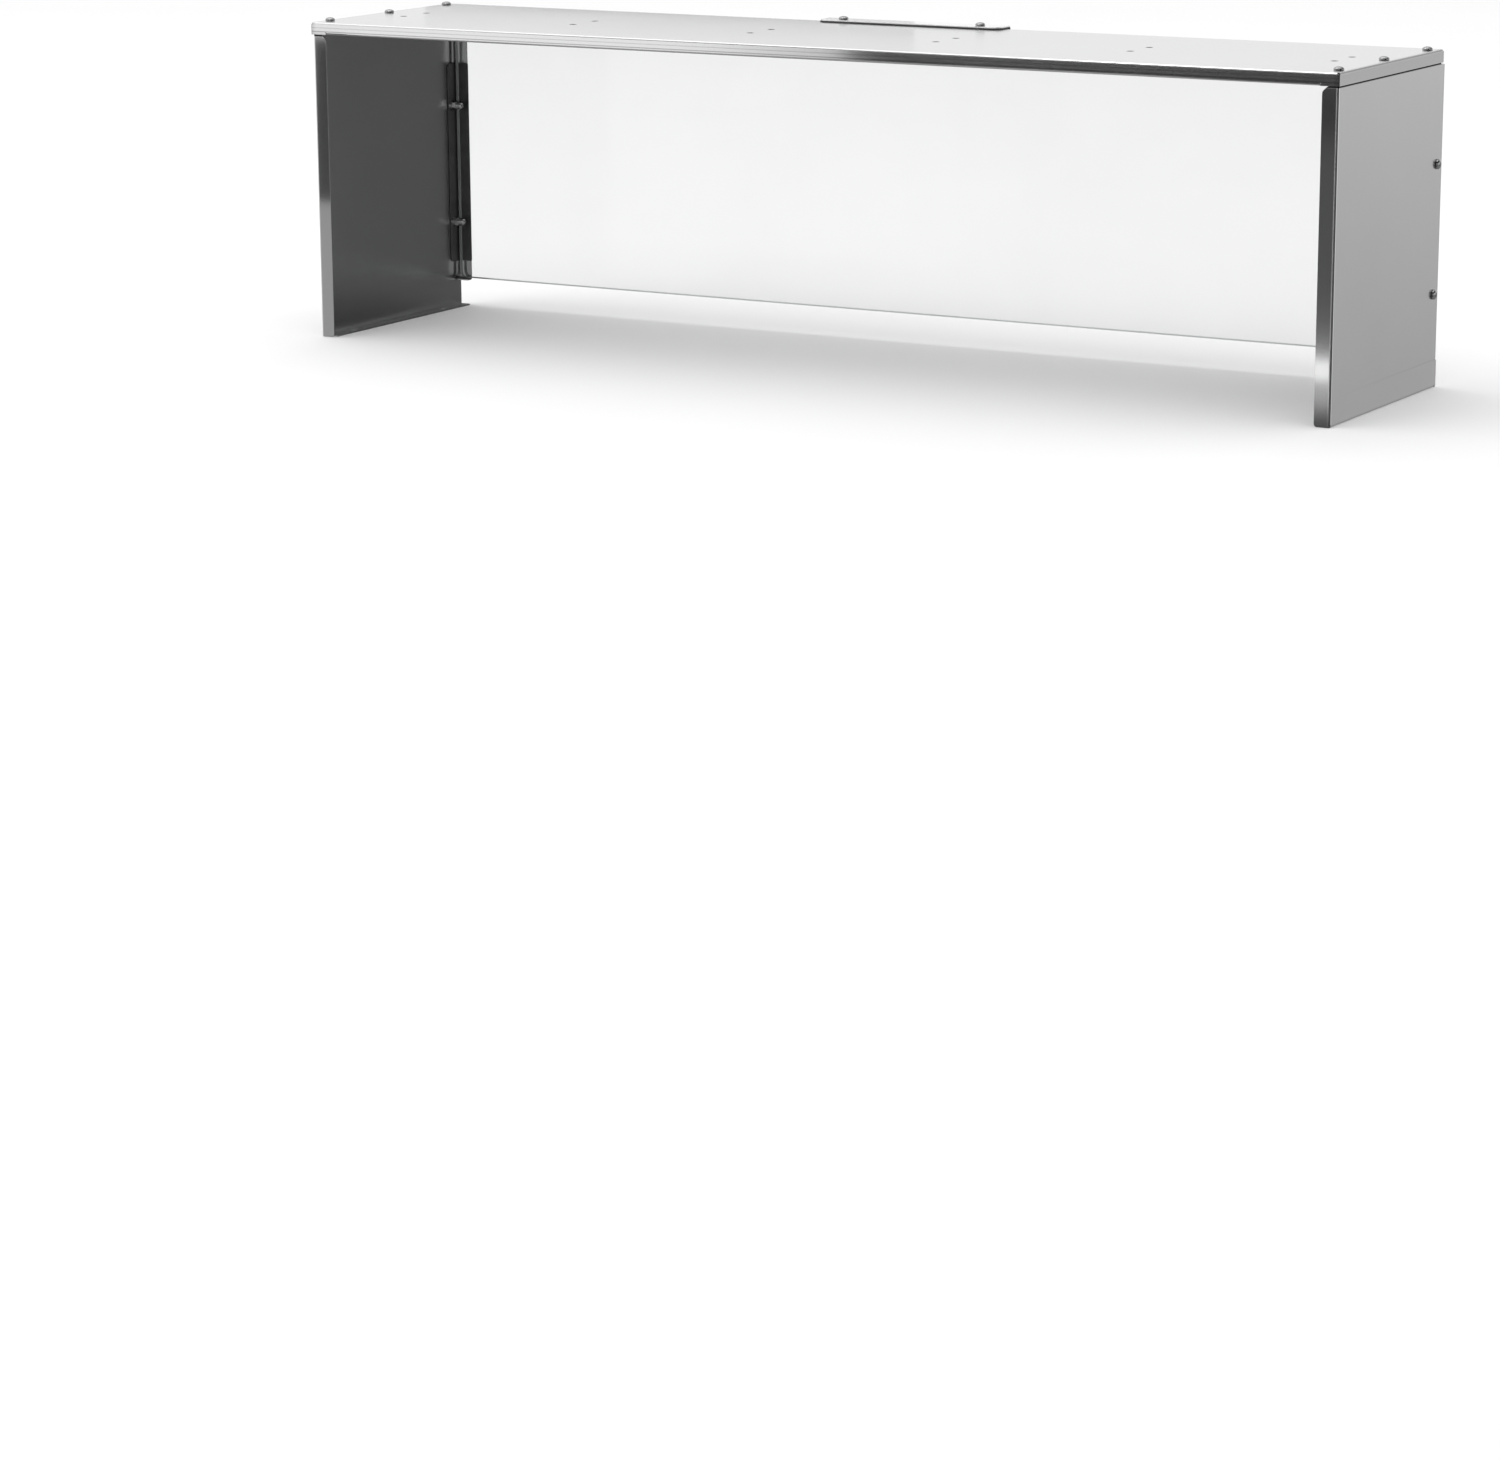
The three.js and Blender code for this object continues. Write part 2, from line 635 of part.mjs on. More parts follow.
function addSideBolts() {
  const bolt = panScrewSolid(BOLT_LENGTH);
  const washer = flatWasherSolid();
  const springWasher = springWasherSolid();
  const domeNut = domeNutSolid();
  const washerX = SIDE_INNER_X - GAP - PAD_THICKNESS - FASTENER_GAP;
  const springX = washerX - WASHER_THICKNESS - FASTENER_GAP;
  const nutX = springX - SPRING_WASHER_THICKNESS - FASTENER_GAP;
  const y = FRONT + SIDE_BOLT_FROM_FRONT;
  for (const [sideName, side] of [
    ["left", -1],
    ["right", 1],
  ]) {
    const outward = new THREE.Vector3(side, 0, 0);
    const inward = new THREE.Vector3(-side, 0, 0);
    for (const [level, z] of Object.entries(SIDE_BOLT_HEIGHTS)) {
      const which = `${sideName}_${level}`;
      const headX = side * (SIDE_OUTER_X + FASTENER_GAP);
      addPiece(`side_bolt_${which}`, bolt, brightSteel, placed(headX, y, z, outward));
      addPiece(`flat_washer_${which}`, washer, brightSteel, placed(side * washerX, y, z, inward));
      const spring = placed(side * springX, y, z, inward);
      addPiece(`spring_washer_${which}`, springWasher, brightSteel, spring);
      addPiece(`dome_nut_${which}`, domeNut, brightSteel, placed(side * nutX, y, z, inward));
    }
  }
}

addSheetMetal();
addGlassAndPads();
addTopScrews();
addClipScrews();
addSideBolts();

export default guard;
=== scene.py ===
"""Sneeze guard: the detailed visual model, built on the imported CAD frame.

Lengths are millimetres until a mesh is made, and metres in Blender. Each sheet piece is drawn as its
flat pattern and then folded, so its bends, corner reliefs and grain are those of real sheet metal.
"""

import math
from collections import namedtuple

import bmesh
import bpy
from mathutils import Matrix, Vector
from mathutils.geometry import delaunay_2d_cdt


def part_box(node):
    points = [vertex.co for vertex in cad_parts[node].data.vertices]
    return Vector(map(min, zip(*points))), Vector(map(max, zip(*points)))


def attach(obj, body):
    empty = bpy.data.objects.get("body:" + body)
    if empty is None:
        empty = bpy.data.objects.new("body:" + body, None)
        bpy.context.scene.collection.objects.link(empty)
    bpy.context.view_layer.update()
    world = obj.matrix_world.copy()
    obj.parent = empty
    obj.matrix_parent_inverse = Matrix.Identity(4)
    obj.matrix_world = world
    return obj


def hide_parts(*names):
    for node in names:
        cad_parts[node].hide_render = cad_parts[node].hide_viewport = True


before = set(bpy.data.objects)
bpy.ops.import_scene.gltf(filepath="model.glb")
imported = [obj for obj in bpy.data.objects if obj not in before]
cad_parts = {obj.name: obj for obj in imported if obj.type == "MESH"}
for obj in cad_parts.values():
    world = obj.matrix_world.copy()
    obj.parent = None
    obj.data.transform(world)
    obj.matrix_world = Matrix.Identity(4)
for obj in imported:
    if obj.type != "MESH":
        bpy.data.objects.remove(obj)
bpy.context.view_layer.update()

METRE = 0.001  # metres in a millimetre
QUARTER = math.pi / 2
HOLE_STEPS = 24
CORNER_STEPS = 6
GLASS_CORNER_STEPS = 10
BEND_STEPS = 8
TURN_STEPS = 48
DOME_STEPS = 9
HEX_END_STEPS = 5
SAME_POINT = 1e-4  # points of a flat pattern closer than this are one
SLIVER = 1e-7  # a triangle with less than this, twice its area, is left out
PATTERN_MARGIN = 1.0  # how far the lines of a bend run past the flat pattern
SHARPEST_RIM = 0.3  # keeps the easing of a sharp corner from running away
SAME_EDGE_COS = 0.8  # edges of an outline that turn less than this share a smooth rim
SMOOTH_DEGREES = 32  # faces of a fastener that turn less than this share a smooth surface
POINT_RADIUS = 1e-6  # a ring smaller than this is a point
FLAT_UV = "Flat"

# ---- Camera, in metres and degrees ----

CAMERA_PLACE = (2.0603, -3.7261, 0.7018)
CAMERA_AZIMUTH = 30.359
CAMERA_ELEVATION = 14.090
CAMERA_ROLL = -0.328
CAMERA_LENS = 106.99
SENSOR_WIDTH = 36.0
CAMERA_CLIP = (0.05, 200.0)

# ---- Light, in metres ----

WHITE = (1.0, 1.0, 1.0, 1.0)
ABOVE_HORIZON = 1.0
BELOW_HORIZON = 0.40
HORIZON_FADE = (-0.20, 0.0)  # height of the directions between which the sky brightens
SOFTBOX_PLACE = (-1.0, -0.4, 4.0)
SOFTBOX_TARGET = (0.0, 0.2, 0.0)
SOFTBOX_SIZE = (5.0, 5.0)
SOFTBOX_POWER = 60.0
FLOOR_REACH = 30.0

# ---- Cards and flags that only reflections see, in metres ----

Card = namedtuple("Card", "name x y z tone")  # upright, over a line on the floor

GLEAM_CORNERS = ((-0.6, -1.1, 1.7), (-0.1, -1.1, 1.7), (-0.1, -0.7, 1.9), (-0.6, -0.7, 1.9))
GLEAM_TONE = 7.0
CARDS = (
    Card("flag_front", (-2.0, 2.6), (-2.4, -1.4), (0.9, 3.0), 0.03),
    Card("flag_back", (-0.4, 2.4), (3.0, 3.0), (2.0, 2.7), 0.03),
    Card("flag_behind", (-0.70, -0.10), (0.30, 0.30), (-0.3, 0.34), 0.12),
    Card("flag_before", (0.30, 0.60), (-0.30, -0.30), (0.045, 0.235), 0.10),
    Card("flag_lip", (-0.04, 0.60), (-0.30, -0.30), (0.235, 0.33), 0.03),
    Card("lip_light", (-1.5, -0.60), (-1.1, -1.1), (-0.12, 0.25), 1.3),
    Card("flag_left", (-0.58, -0.53), (-0.16, -0.16), (0.13, 0.294), 0.04),
    Card("flag_left_low", (-0.58, -0.53), (-0.161, -0.161), (-0.04, 0.13), 0.40),
    Card("flag_behind_low", (-0.75, -0.05), (0.29, 0.29), (-0.3, -0.04), 0.01),
    Card("flag_side", (3.0, 3.0), (-2.5, 3.0), (0.7, 3.0), 0.03),
    Card("flag_right", (0.80, 1.10), (-0.50, -0.25), (-0.6, 0.6), 0.03),
    Card("flag_foot", (0.36, 0.60), (-0.20, -0.20), (-0.25, 0.005), 0.05),
    Card("glint", (0.44, 0.53), (-0.18, -0.18), (0.032, 0.050), 1.8),
)

# ---- Top panel. Bend radii are those of the outer face, and an ease is how far a cut edge is eased ----

TOP_SHEET = 1.0
TOP_BEND = 2.0
TOP_EASE = 0.12
RETURN_DEPTH = 8.0
RETURN_END_INSET = 18.0
RETURN_CORNER = 3.0
FRONT_LIP_INSET = 0.3
REAR_LIP_INSET = 3.2
SIDE_LIP_FRONT_INSET = 1.3
SIDE_LIP_REAR_INSET = 0.2
LAMP_HOLE_RADIUS = 2.5
SCREW_HOLE_RADIUS = 2.8
LAMP_HOLE_ROWS = (-30.0, 10.0)
LAMP_HOLE_COLUMNS = (-500.0, -300.0, -100.0, 100.0, 300.0, 500.0)

# ---- End panels ----

SIDE_SHEET = 1.2
SIDE_BEND = 2.2
SIDE_EASE = 0.15
RELIEF = 0.6  # width of the slits beside a bend, on every sheet
FLANGE_CORNER = 2.5
FRONT_FLANGE_CHAMFER = 5.0
FRONT_FLANGE_CORNER = 2.0
FRONT_FLANGE_FOOT_CORNER = 3.0
FRONT_FLANGE_GAP = 0.3  # to the counter, and to the lip above
FRONT_BEND_RISE = 1.5  # how far the front bend runs up behind the lip
REAR_CORNER = 0.8
REAR_FOOT_GAP = 0.2
REAR_STEP_DEPTH = 10.5
REAR_STEP_TOP = 298.0
REAR_STEP_CORNER = 3.0
REST_DEPTH = 8.8
REST_CORNER = 1.5
PAD_GAP = 0.2
FOOT_HOLES_Y = (-80.0, 80.0)

# ---- Clip, pads and glass ----

CLIP_CORNER = 8.0
CLIP_LEG_CORNER = 4.0
CLIP_INNER_BEND = 1.0
PAD_THICKNESS = 0.9
PAD_CORNER = 5.0
PAD_LEG_CORNER = 1.5
PAD_INNER_BEND = 0.2
PAD_EASE = 0.2
REST_PAD_EASE = 0.25
GLASS_CORNER = 6.0
GLASS_EASE = 0.7
SMALL_CORNER = 1.0

# ---- Fasteners: radii and heights ----

HEAD_RADIUS = 4.75
HEAD_HEIGHT = 3.2
HEAD_EASE = 0.3
HEAD_EDGE = 0.08
HEAD_RIM = 1.0
HEAD_FLAT = 0.9
HEAD_STEPS = 10
RECESS_LENGTH = 2.5  # from the axis to an arm's end
RECESS_WIDTH = 0.62  # half an arm's
RECESS_LAYERS = ((0.5, 1.06), (-2.0, 0.52), (-2.3, 0.2))  # height over the crown, and share of the size
RECESS_TAPER = 0.45  # share of an arm's width that doesn't taper
RECESS_ROUND = 0.9  # an arm's greatest width, as a share of its length
THREAD_RADIUS = 2.5
THREAD_DEPTH = 0.42
THREAD_PITCH = 0.8
THREAD_FADE = 0.8  # length over which it runs out
CREST_SLOPE = 1.25  # over 1, so that the crest has a flat
RINGS_PER_PITCH = 6
THREAD_START = 0.3  # from the tip
THREAD_END = 0.9  # from the head
TIP_CHAMFER = 0.9
NECK_GROOVE = 0.1
NECK_LENGTH = 0.7
NUT_BORE = 2.6
BORE_CHAMFER = 0.35
MOUTH_DEPTH = 0.4
BLIND_BORE_END = 2.6  # from the crown of a dome nut
BORE_CONE = 0.2
ACROSS_FLATS = 8.0
HEX_FACE_SHARE = 0.96  # radius of a hexagon's end face, as a share of half its width
HEX_CHAMFER = 0.45
DOME_HEX_CHAMFER = 0.4
DOME_HEX_HEIGHT = 4.6
DOME_RADIUS = 3.75
DOME_FOOT_FLARE = 0.02
DOME_FOOT_HEIGHT = 0.15
WASHER_BORE = 2.75
WASHER_EASE = 0.12
FLAT_WASHER_RIM = 5.0
FLAT_WASHER_THICKNESS = 1.0
SPRING_WASHER_RIM = 4.4
SPRING_WASHER_THICKNESS = 1.15
SPRING_WASHER_RISE = 0.12
SPRING_WASHER_SLIT = 0.11  # half the angle of the slit

FIRST_SPIN, SPIN_FACTOR, SPIN_STEP = 17, 7, 13  # degrees, so that no two neighbours stop alike

# ---- Tones and textures ----

Line = namedtuple("Line", "axis middle reach kept")  # a band of painted shade or painted highlight on a flat pattern, in millimetres

MIX_INPUTS = (0, 6, 7)  # sockets of a colour mix: its share, and its two colours
MIX_OUTPUT = 2
# One steel in three base tones: the end panels painted darker and the clip painted lighter than the shelf,
# for the light each gets.
SHELF_TONE = 0.70
END_TONE = 0.61
CLIP_TONE = 0.92
DARK_LINE = 0.1  # a painted shade line that keeps less than this of its tone doesn't mirror either
FACE_NORMAL = 0.99  # a glass face whose normal has at least this much of Y is one of the pane's two
GRAIN_CELLS = (18.0, 2600.0, 1.0)
CLOUD_CELLS = (7.0, 7.0, 1.0)
STEEL_ROUGHNESS = (0.225, 0.255)
GRAIN_RANGE = (0.35, 0.65)
PLAIN_SPECULAR = 0.5
LINE_CORE = 0.6  # share of a line's reach that has its full tone
# Painted shade: a dark ring drawn round each lamp hole, where the sheet also stops mirroring, so that the
# holes show.
HOLE_SHADE_WIDTH = (0.9, 1.3)  # from a lamp hole's rim to where its ring of painted shade starts and ends to fade
HOLE_SHADE_TONE = 0.06
EDGE_SHADE = 0.30  # how much of its tone the glass edge keeps where it is painted dark for the black pad behind it
EDGE_SHADE_X = (0.50, 0.51)  # distance from the middle, in metres, over which it darkens


# ---- Small helpers ----


def box_mm(node):
    low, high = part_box(node)
    return low / METRE, high / METRE


def middle(node):
    low, high = box_mm(node)
    return (low + high) / 2


def circle(centre_u, centre_v, radius):
    """A hole: points that run clockwise."""
    return [
        (
            centre_u + radius * math.cos(-2 * math.pi * i / HOLE_STEPS),
            centre_v + radius * math.sin(-2 * math.pi * i / HOLE_STEPS),
        )
        for i in range(HOLE_STEPS)
    ]


def rounded(corners, radius=SMALL_CORNER, steps=CORNER_STEPS):
    """A counter-clockwise outline whose corners are rounded. A corner may give its own radius third."""
    points = []
    for i, corner in enumerate(corners):
        here = Vector(corner[:2])
        reach = corner[2] if len(corner) > 2 else radius
        if reach <= 0:
            points.append(tuple(here))
            continue
        to_last = (Vector(corners[i - 1][:2]) - here).normalized()
        to_next = (Vector(corners[(i + 1) % len(corners)][:2]) - here).normalized()
        half = math.acos(max(-1.0, min(1.0, to_last.dot(to_next)))) / 2
        start, end = here + to_last * reach, here + to_next * reach
        centre = here + (to_last + to_next).normalized() * (reach / math.cos(half))
        first, last = start - centre, end - centre
        sweep = first.angle_signed(last)
        for k in range(steps + 1):
            arm = first.copy()
            arm.rotate(Matrix.Rotation(-sweep * k / steps, 2))
            points.append(tuple(centre + arm))
    return points


# ---- Folded sheets ----

Fold = namedtuple("Fold", "axis line way radius covers")


def everywhere(u, v):
    return True


def fold(axis, line, way, radius, covers=everywhere):
    """A quarter bend, away from the outer face, of all that lies past `line` on an axis."""
    return Fold(axis, line, way, radius, covers)


def folded(flat, depth, direction, folds):
    """Where a point of the flat pattern ends up, and which way `direction` then points."""
    point = [flat[0], flat[1], -depth]
    way = list(direction)
    for bend in folds:
        past = (point[bend.axis] - bend.line) * bend.way
        if past <= 0 or not bend.covers(*flat):
            continue
        angle = min(past / bend.radius, QUARTER)
        beyond = max(past - bend.radius * QUARTER, 0.0)
        reach = bend.radius + point[2]
        sine, cosine = math.sin(angle), math.cos(angle)
        point[bend.axis] = bend.line + bend.way * (sine * reach + cosine * beyond)
        point[2] = cosine * reach - sine * beyond - bend.radius
        outward = way[bend.axis] * bend.way
        way[bend.axis] = bend.way * (cosine * outward + sine * way[2])
        way[2] = cosine * way[2] - sine * outward
    return Vector(point), Vector(way)


def inside(point, loops):
    """Even-odd test of a point against closed loops."""
    x, y = point
    odd = False
    for loop in loops:
        for (x0, y0), (x1, y1) in zip(loop, loop[1:] + loop[:1]):
            if (y0 > y) != (y1 > y) and x < x0 + (y - y0) * (x1 - x0) / (y1 - y0):
                odd = not odd
    return odd


def pattern_triangles(loops, folds):
    """The flat pattern as counter-clockwise triangles, none of which crosses a facet of a bend."""
    points, edges = [], []
    for loop in loops:
        first = len(points)
        points += [Vector(p) for p in loop]
        edges += [(first + i, first + (i + 1) % len(loop)) for i in range(len(loop))]
    spread = [[p[k] for loop in loops for p in loop] for k in (0, 1)]
    low, high = [min(s) - PATTERN_MARGIN for s in spread], [max(s) + PATTERN_MARGIN for s in spread]
    for bend in folds:
        for step in range(BEND_STEPS + 1):
            at = bend.line + bend.way * bend.radius * QUARTER * step / BEND_STEPS
            ends = [list(low), list(high)]
            ends[0][bend.axis] = ends[1][bend.axis] = at
            edges.append((len(points), len(points) + 1))
            points += [Vector(end) for end in ends]
    found, _, faces, *_ = delaunay_2d_cdt(points, edges, [], 0, SAME_POINT)
    triangles = []
    for face in faces:
        a, b, c = (found[i] for i in face)
        area = (b - a).cross(c - a)
        if abs(area) < SLIVER or not inside((a + b + c) / 3, loops):
            continue
        triangles.append(tuple(face) if area > 0 else (face[0], face[2], face[1]))
    return found, triangles


def rim_edges(triangles):
    """Directed edges that only one triangle has, with the material on their left."""
    directed = {(t[i], t[(i + 1) % 3]) for t in triangles for i in range(3)}
    return [(a, b) for a, b in sorted(directed) if (b, a) not in directed]


def sheet_mesh(name, outline, holes, folds, thickness, edge, place):
    """A folded sheet as one closed mesh, with its cut edges eased by `edge`.

    `place` takes (u, v, height over the outer face) to the object's frame. The normals of the bends
    are those of true arcs.
    """
    found, triangles = pattern_triangles([outline] + holes, folds)
    rim = rim_edges(triangles)
    outward = {}
    for a, b in rim:
        along = (found[b] - found[a]).normalized()
        normal = Vector((along.y, -along.x))
        outward.setdefault(a, []).append(normal)
        outward.setdefault(b, []).append(normal)

    turn = place.to_3x3()
    mirrored = turn.determinant() < 0
    vertices, uvs, normals = [], [], []
    index = {}

    def vertex(key, flat, depth, direction):
        if key not in index:
            index[key] = len(vertices)
            point, way = folded(flat, depth, direction, folds)
            vertices.append(place @ point * METRE)
            normals.append((turn @ way).normalized())
            uvs.append((flat[0] * METRE, flat[1] * METRE))
        return index[key]

    for i in sorted({i for t in triangles for i in t}):
        flat = found[i].copy()
        if i in outward:
            one, two = outward[i][0], outward[i][-1]
            flat -= (one + two) * (edge / max(1 + one.dot(two), SHARPEST_RIM))
            mean = (one + two).normalized()
            for layer, depth in (("upper", edge), ("lower", thickness - edge)):
                vertex((layer, i), found[i], depth, (*mean, 0.0))
        vertex(("outer", i), flat, 0.0, (0.0, 0.0, 1.0))
        vertex(("inner", i), flat, thickness, (0.0, 0.0, -1.0))

    faces, corner_normals = [], []

    def face(keys, given):
        order = list(zip((index[k] for k in keys), given))
        if mirrored:
            order.reverse()
        faces.append([i for i, _ in order])
        corner_normals.extend(normals[i] if way is None else way for i, way in order)

    for t in triangles:
        face([("outer", i) for i in t], [None] * 3)
        face([("inner", i) for i in reversed(t)], [None] * 3)
    layers = ("outer", "upper", "lower", "inner")
    for a, b in rim:
        along = (found[b] - found[a]).normalized()
        edge_way = (along.y, -along.x, 0.0)
        own = {}
        for i in (a, b):
            sharp = outward[i][0].dot(outward[i][-1]) < SAME_EDGE_COS
            way = folded(found[i], thickness / 2, edge_way, folds)[1]
            own[i] = (turn @ way).normalized() if sharp else None
        for one, two in zip(layers, layers[1:]):
            keys = [(one, a), (two, a), (two, b), (one, b)]
            face(keys, [None if k[0] in ("outer", "inner") else own[k[1]] for k in keys])

    mesh = bpy.data.meshes.new(name)
    mesh.from_pydata(vertices, [], faces)
    layer = mesh.uv_layers.new(name=FLAT_UV)
    for loop in mesh.loops:
        layer.data[loop.index].uv = uvs[loop.vertex_index]
    mesh.polygons.foreach_set("use_smooth", [True] * len(mesh.polygons))
    mesh.normals_split_custom_set(corner_normals)
    return mesh


# ---- Pieces ----


def add_piece(name, mesh, material, nodes, place=None):
    piece = bpy.data.objects.new(name, mesh)
    bpy.context.scene.collection.objects.link(piece)
    if place is not None:
        piece.matrix_world = place
    if not mesh.materials:
        mesh.materials.append(material)
    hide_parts(*nodes)
    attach(piece, "root")
    return piece


def mirrored_outline(right_side):
    """A whole outline from its right-hand points, which run from front to back."""
    return right_side + [(-u, v) for u, v in reversed(right_side)]


def mark_cut_edges(mesh):
    """Gives a sheet's cut edges, which are its only four-sided faces, the mesh's second material."""
    for polygon in mesh.polygons:
        polygon.material_index = 1 if len(polygon.vertices) == 4 else 0


def top_panel_mesh():
    low, high = box_mm("top_panel")
    arc = TOP_BEND * QUARTER
    side, front, back = high.x - TOP_BEND, low.y + TOP_BEND, high.y - TOP_BEND
    drop = high.z - low.z - TOP_BEND
    return_line = front - arc - (drop - TOP_BEND)
    lip_foot = front - arc - drop
    return_edge = return_line - arc - (RETURN_DEPTH - TOP_BEND)
    return_x = high.x - RETURN_END_INSET
    rear_x = high.x - REAR_LIP_INSET
    corner_x = high.x - FRONT_LIP_INSET
    lip_start, lip_end = low.y + SIDE_LIP_FRONT_INSET, high.y - SIDE_LIP_REAR_INSET
    right_side = [
        (return_x - RETURN_CORNER, return_edge),
        (return_x, return_edge + RETURN_CORNER),
        (return_x, return_line + RELIEF),
        (return_x + RELIEF, return_line + RELIEF),
        (return_x + RELIEF, lip_foot),
        (corner_x, lip_foot),
        (corner_x, front - arc),
        (side, front - arc),
        (side, front),
        (side + arc, front),
        (side + arc, lip_start),
        (side + arc + drop, lip_start),
        (side + arc + drop, lip_end),
        (side + arc, lip_end),
        (side + arc, back),
        (rear_x, back),
        (rear_x, back + arc + drop),
    ]
    holes = [circle(x, y, LAMP_HOLE_RADIUS) for x in LAMP_HOLE_COLUMNS for y in LAMP_HOLE_ROWS]
    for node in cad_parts:
        if node.startswith(("top_screw", "clip_screw")):
            place = middle(node)
            holes.append(circle(place.x, place.y, SCREW_HOLE_RADIUS))
    folds = [
        fold(1, return_line, -1, TOP_BEND, lambda u, v: abs(u) <= return_x + RELIEF / 2),
        fold(1, front, -1, TOP_BEND),
        fold(1, back, 1, TOP_BEND, lambda u, v: abs(u) <= rear_x + RELIEF),
        fold(0, side, 1, TOP_BEND, lambda u, v: v > front - TOP_BEND / 2),
        fold(0, -side, -1, TOP_BEND, lambda u, v: v > front - TOP_BEND / 2),
    ]
    place = Matrix.Translation((0, 0, high.z))
    outline = mirrored_outline(right_side)
    mesh = sheet_mesh("top_panel", outline, holes, folds, TOP_SHEET, TOP_EASE, place)
    mark_cut_edges(mesh)
    return mesh


def bolt_holes():
    """The holes of the side bolts, in the flat pattern of an end panel or of its glass pad."""
    bolts = [middle(f"side_bolt_right_{level}") for level in ("upper", "lower")]
    return [circle(bolt.y, bolt.z, SCREW_HOLE_RADIUS) for bolt in bolts]


def side_place(hand, x):
    """From a flat pattern of y and z to an upright outer face at `x` on the right or the left."""
    return Matrix(((0, 0, hand, hand * x), (1, 0, 0, 0), (0, 1, 0, 0), (0, 0, 0, 1)))


def end_panel_mesh(name, hand):
    """The end panel on the right (hand = 1) or the left (hand = -1)."""
    low, high = box_mm("right_end_panel")
    arc = SIDE_BEND * QUARTER
    front, back = low.y + SIDE_BEND, high.y - SIDE_BEND
    foot, top = SIDE_BEND, high.z - SIDE_BEND
    flat = high.x - low.x - SIDE_BEND
    lip_bottom = box_mm("top_panel")[0].z
    step_y = high.y - REAR_STEP_DEPTH
    rest_bottom = box_mm("right_rest_pad")[0].z - PAD_GAP - SIDE_SHEET
    rest_line = rest_bottom + SIDE_BEND
    rest_edge = rest_line - arc - (REST_DEPTH - SIDE_BEND)
    front_edge, rear_edge = front - arc - flat, back + arc + flat
    rest_u = back + arc + RELIEF
    corners = [
        (front + RELIEF * 2, foot - arc - flat, FLANGE_CORNER),
        (back - RELIEF * 2, foot - arc - flat, FLANGE_CORNER),
        (back - RELIEF * 2, foot + RELIEF, 0),
        (back - RELIEF, foot + RELIEF, 0),
        (back - RELIEF, REAR_FOOT_GAP, 0),
        (high.y, REAR_FOOT_GAP, REAR_CORNER),
        (high.y, rest_bottom - RELIEF, 0),
        (back, rest_bottom - RELIEF, 0),
        (back, rest_bottom, 0),
        (rest_u - RELIEF, rest_bottom, 0),
        (rest_u - RELIEF, rest_line + RELIEF, 0),
        (rest_u, rest_line + RELIEF, 0),
        (rest_u, rest_edge, REAR_CORNER),
        (rear_edge, rest_edge, REST_CORNER),
        (rear_edge, REAR_STEP_TOP, REAR_STEP_CORNER),
        (step_y, REAR_STEP_TOP, REAR_CORNER),
        (step_y, top + arc + flat, FLANGE_CORNER),
        (front + RELIEF * 2, top + arc + flat, FLANGE_CORNER),
        (front + RELIEF * 2, top - RELIEF, 0),
        (front - arc, top - RELIEF, 0),
        (front - arc, lip_bottom + FRONT_BEND_RISE, 0),
        (front_edge + FRONT_FLANGE_CHAMFER, lip_bottom - FRONT_FLANGE_GAP, FRONT_FLANGE_CORNER),
        (front_edge, lip_bottom - FRONT_FLANGE_CHAMFER, FRONT_FLANGE_CORNER),
        (front_edge, FRONT_FLANGE_GAP, FRONT_FLANGE_FOOT_CORNER),
        (front, FRONT_FLANGE_GAP, 0),
        (front, foot + RELIEF, 0),
        (front + RELIEF * 2, foot + RELIEF, 0),
    ]
    holes = bolt_holes()
    for row in ("front", "middle", "rear"):
        screw = middle(f"top_screw_right_{row}")
        across = top + arc + (high.x - screw.x - SIDE_BEND)
        holes.append(circle(screw.y, across, SCREW_HOLE_RADIUS))
    foot_middle = (high.x - SIDE_SHEET - low.x) / 2 + SIDE_SHEET
    for y in FOOT_HOLES_Y:
        holes.append(circle(y, foot - arc - (foot_middle - SIDE_BEND), SCREW_HOLE_RADIUS))
    folds = [
        fold(1, rest_line, -1, SIDE_BEND, lambda u, v: u > rest_u - RELIEF / 2),
        fold(0, front, -1, SIDE_BEND, lambda u, v: 0 < v < top),
        fold(0, back, 1, SIDE_BEND, lambda u, v: u > high.y or v > rest_bottom - RELIEF / 2),
        fold(1, foot, -1, SIDE_BEND, lambda u, v: front + RELIEF < u < back - RELIEF * 1.5),
        fold(1, top, 1, SIDE_BEND, lambda u, v: front + RELIEF < u < back),
    ]
    place = side_place(hand, high.x)
    return sheet_mesh(name, rounded(corners), holes, folds, SIDE_SHEET, SIDE_EASE, place)


def clip_mesh(node, thickness):
    """The clip or its pad: a plate whose rear edge folds down into a leg."""
    low, high = box_mm(node)
    bend = thickness + CLIP_INNER_BEND
    line = high.y - bend
    leg_end = line + bend * QUARTER + (high.z - low.z - bend)
    corners = [
        (low.x, low.y, CLIP_CORNER),
        (high.x, low.y, CLIP_CORNER),
        (high.x, leg_end, CLIP_LEG_CORNER),
        (low.x, leg_end, CLIP_LEG_CORNER),
    ]
    holes = []
    for side in ("left", "right"):
        screw = middle(f"clip_screw_{side}")
        holes.append(circle(screw.x, screw.y, SCREW_HOLE_RADIUS))
    place = Matrix.Translation((0, 0, high.z))
    folds = [fold(1, line, 1, bend)]
    return sheet_mesh(node, rounded(corners), holes, folds, thickness, SIDE_EASE, place)


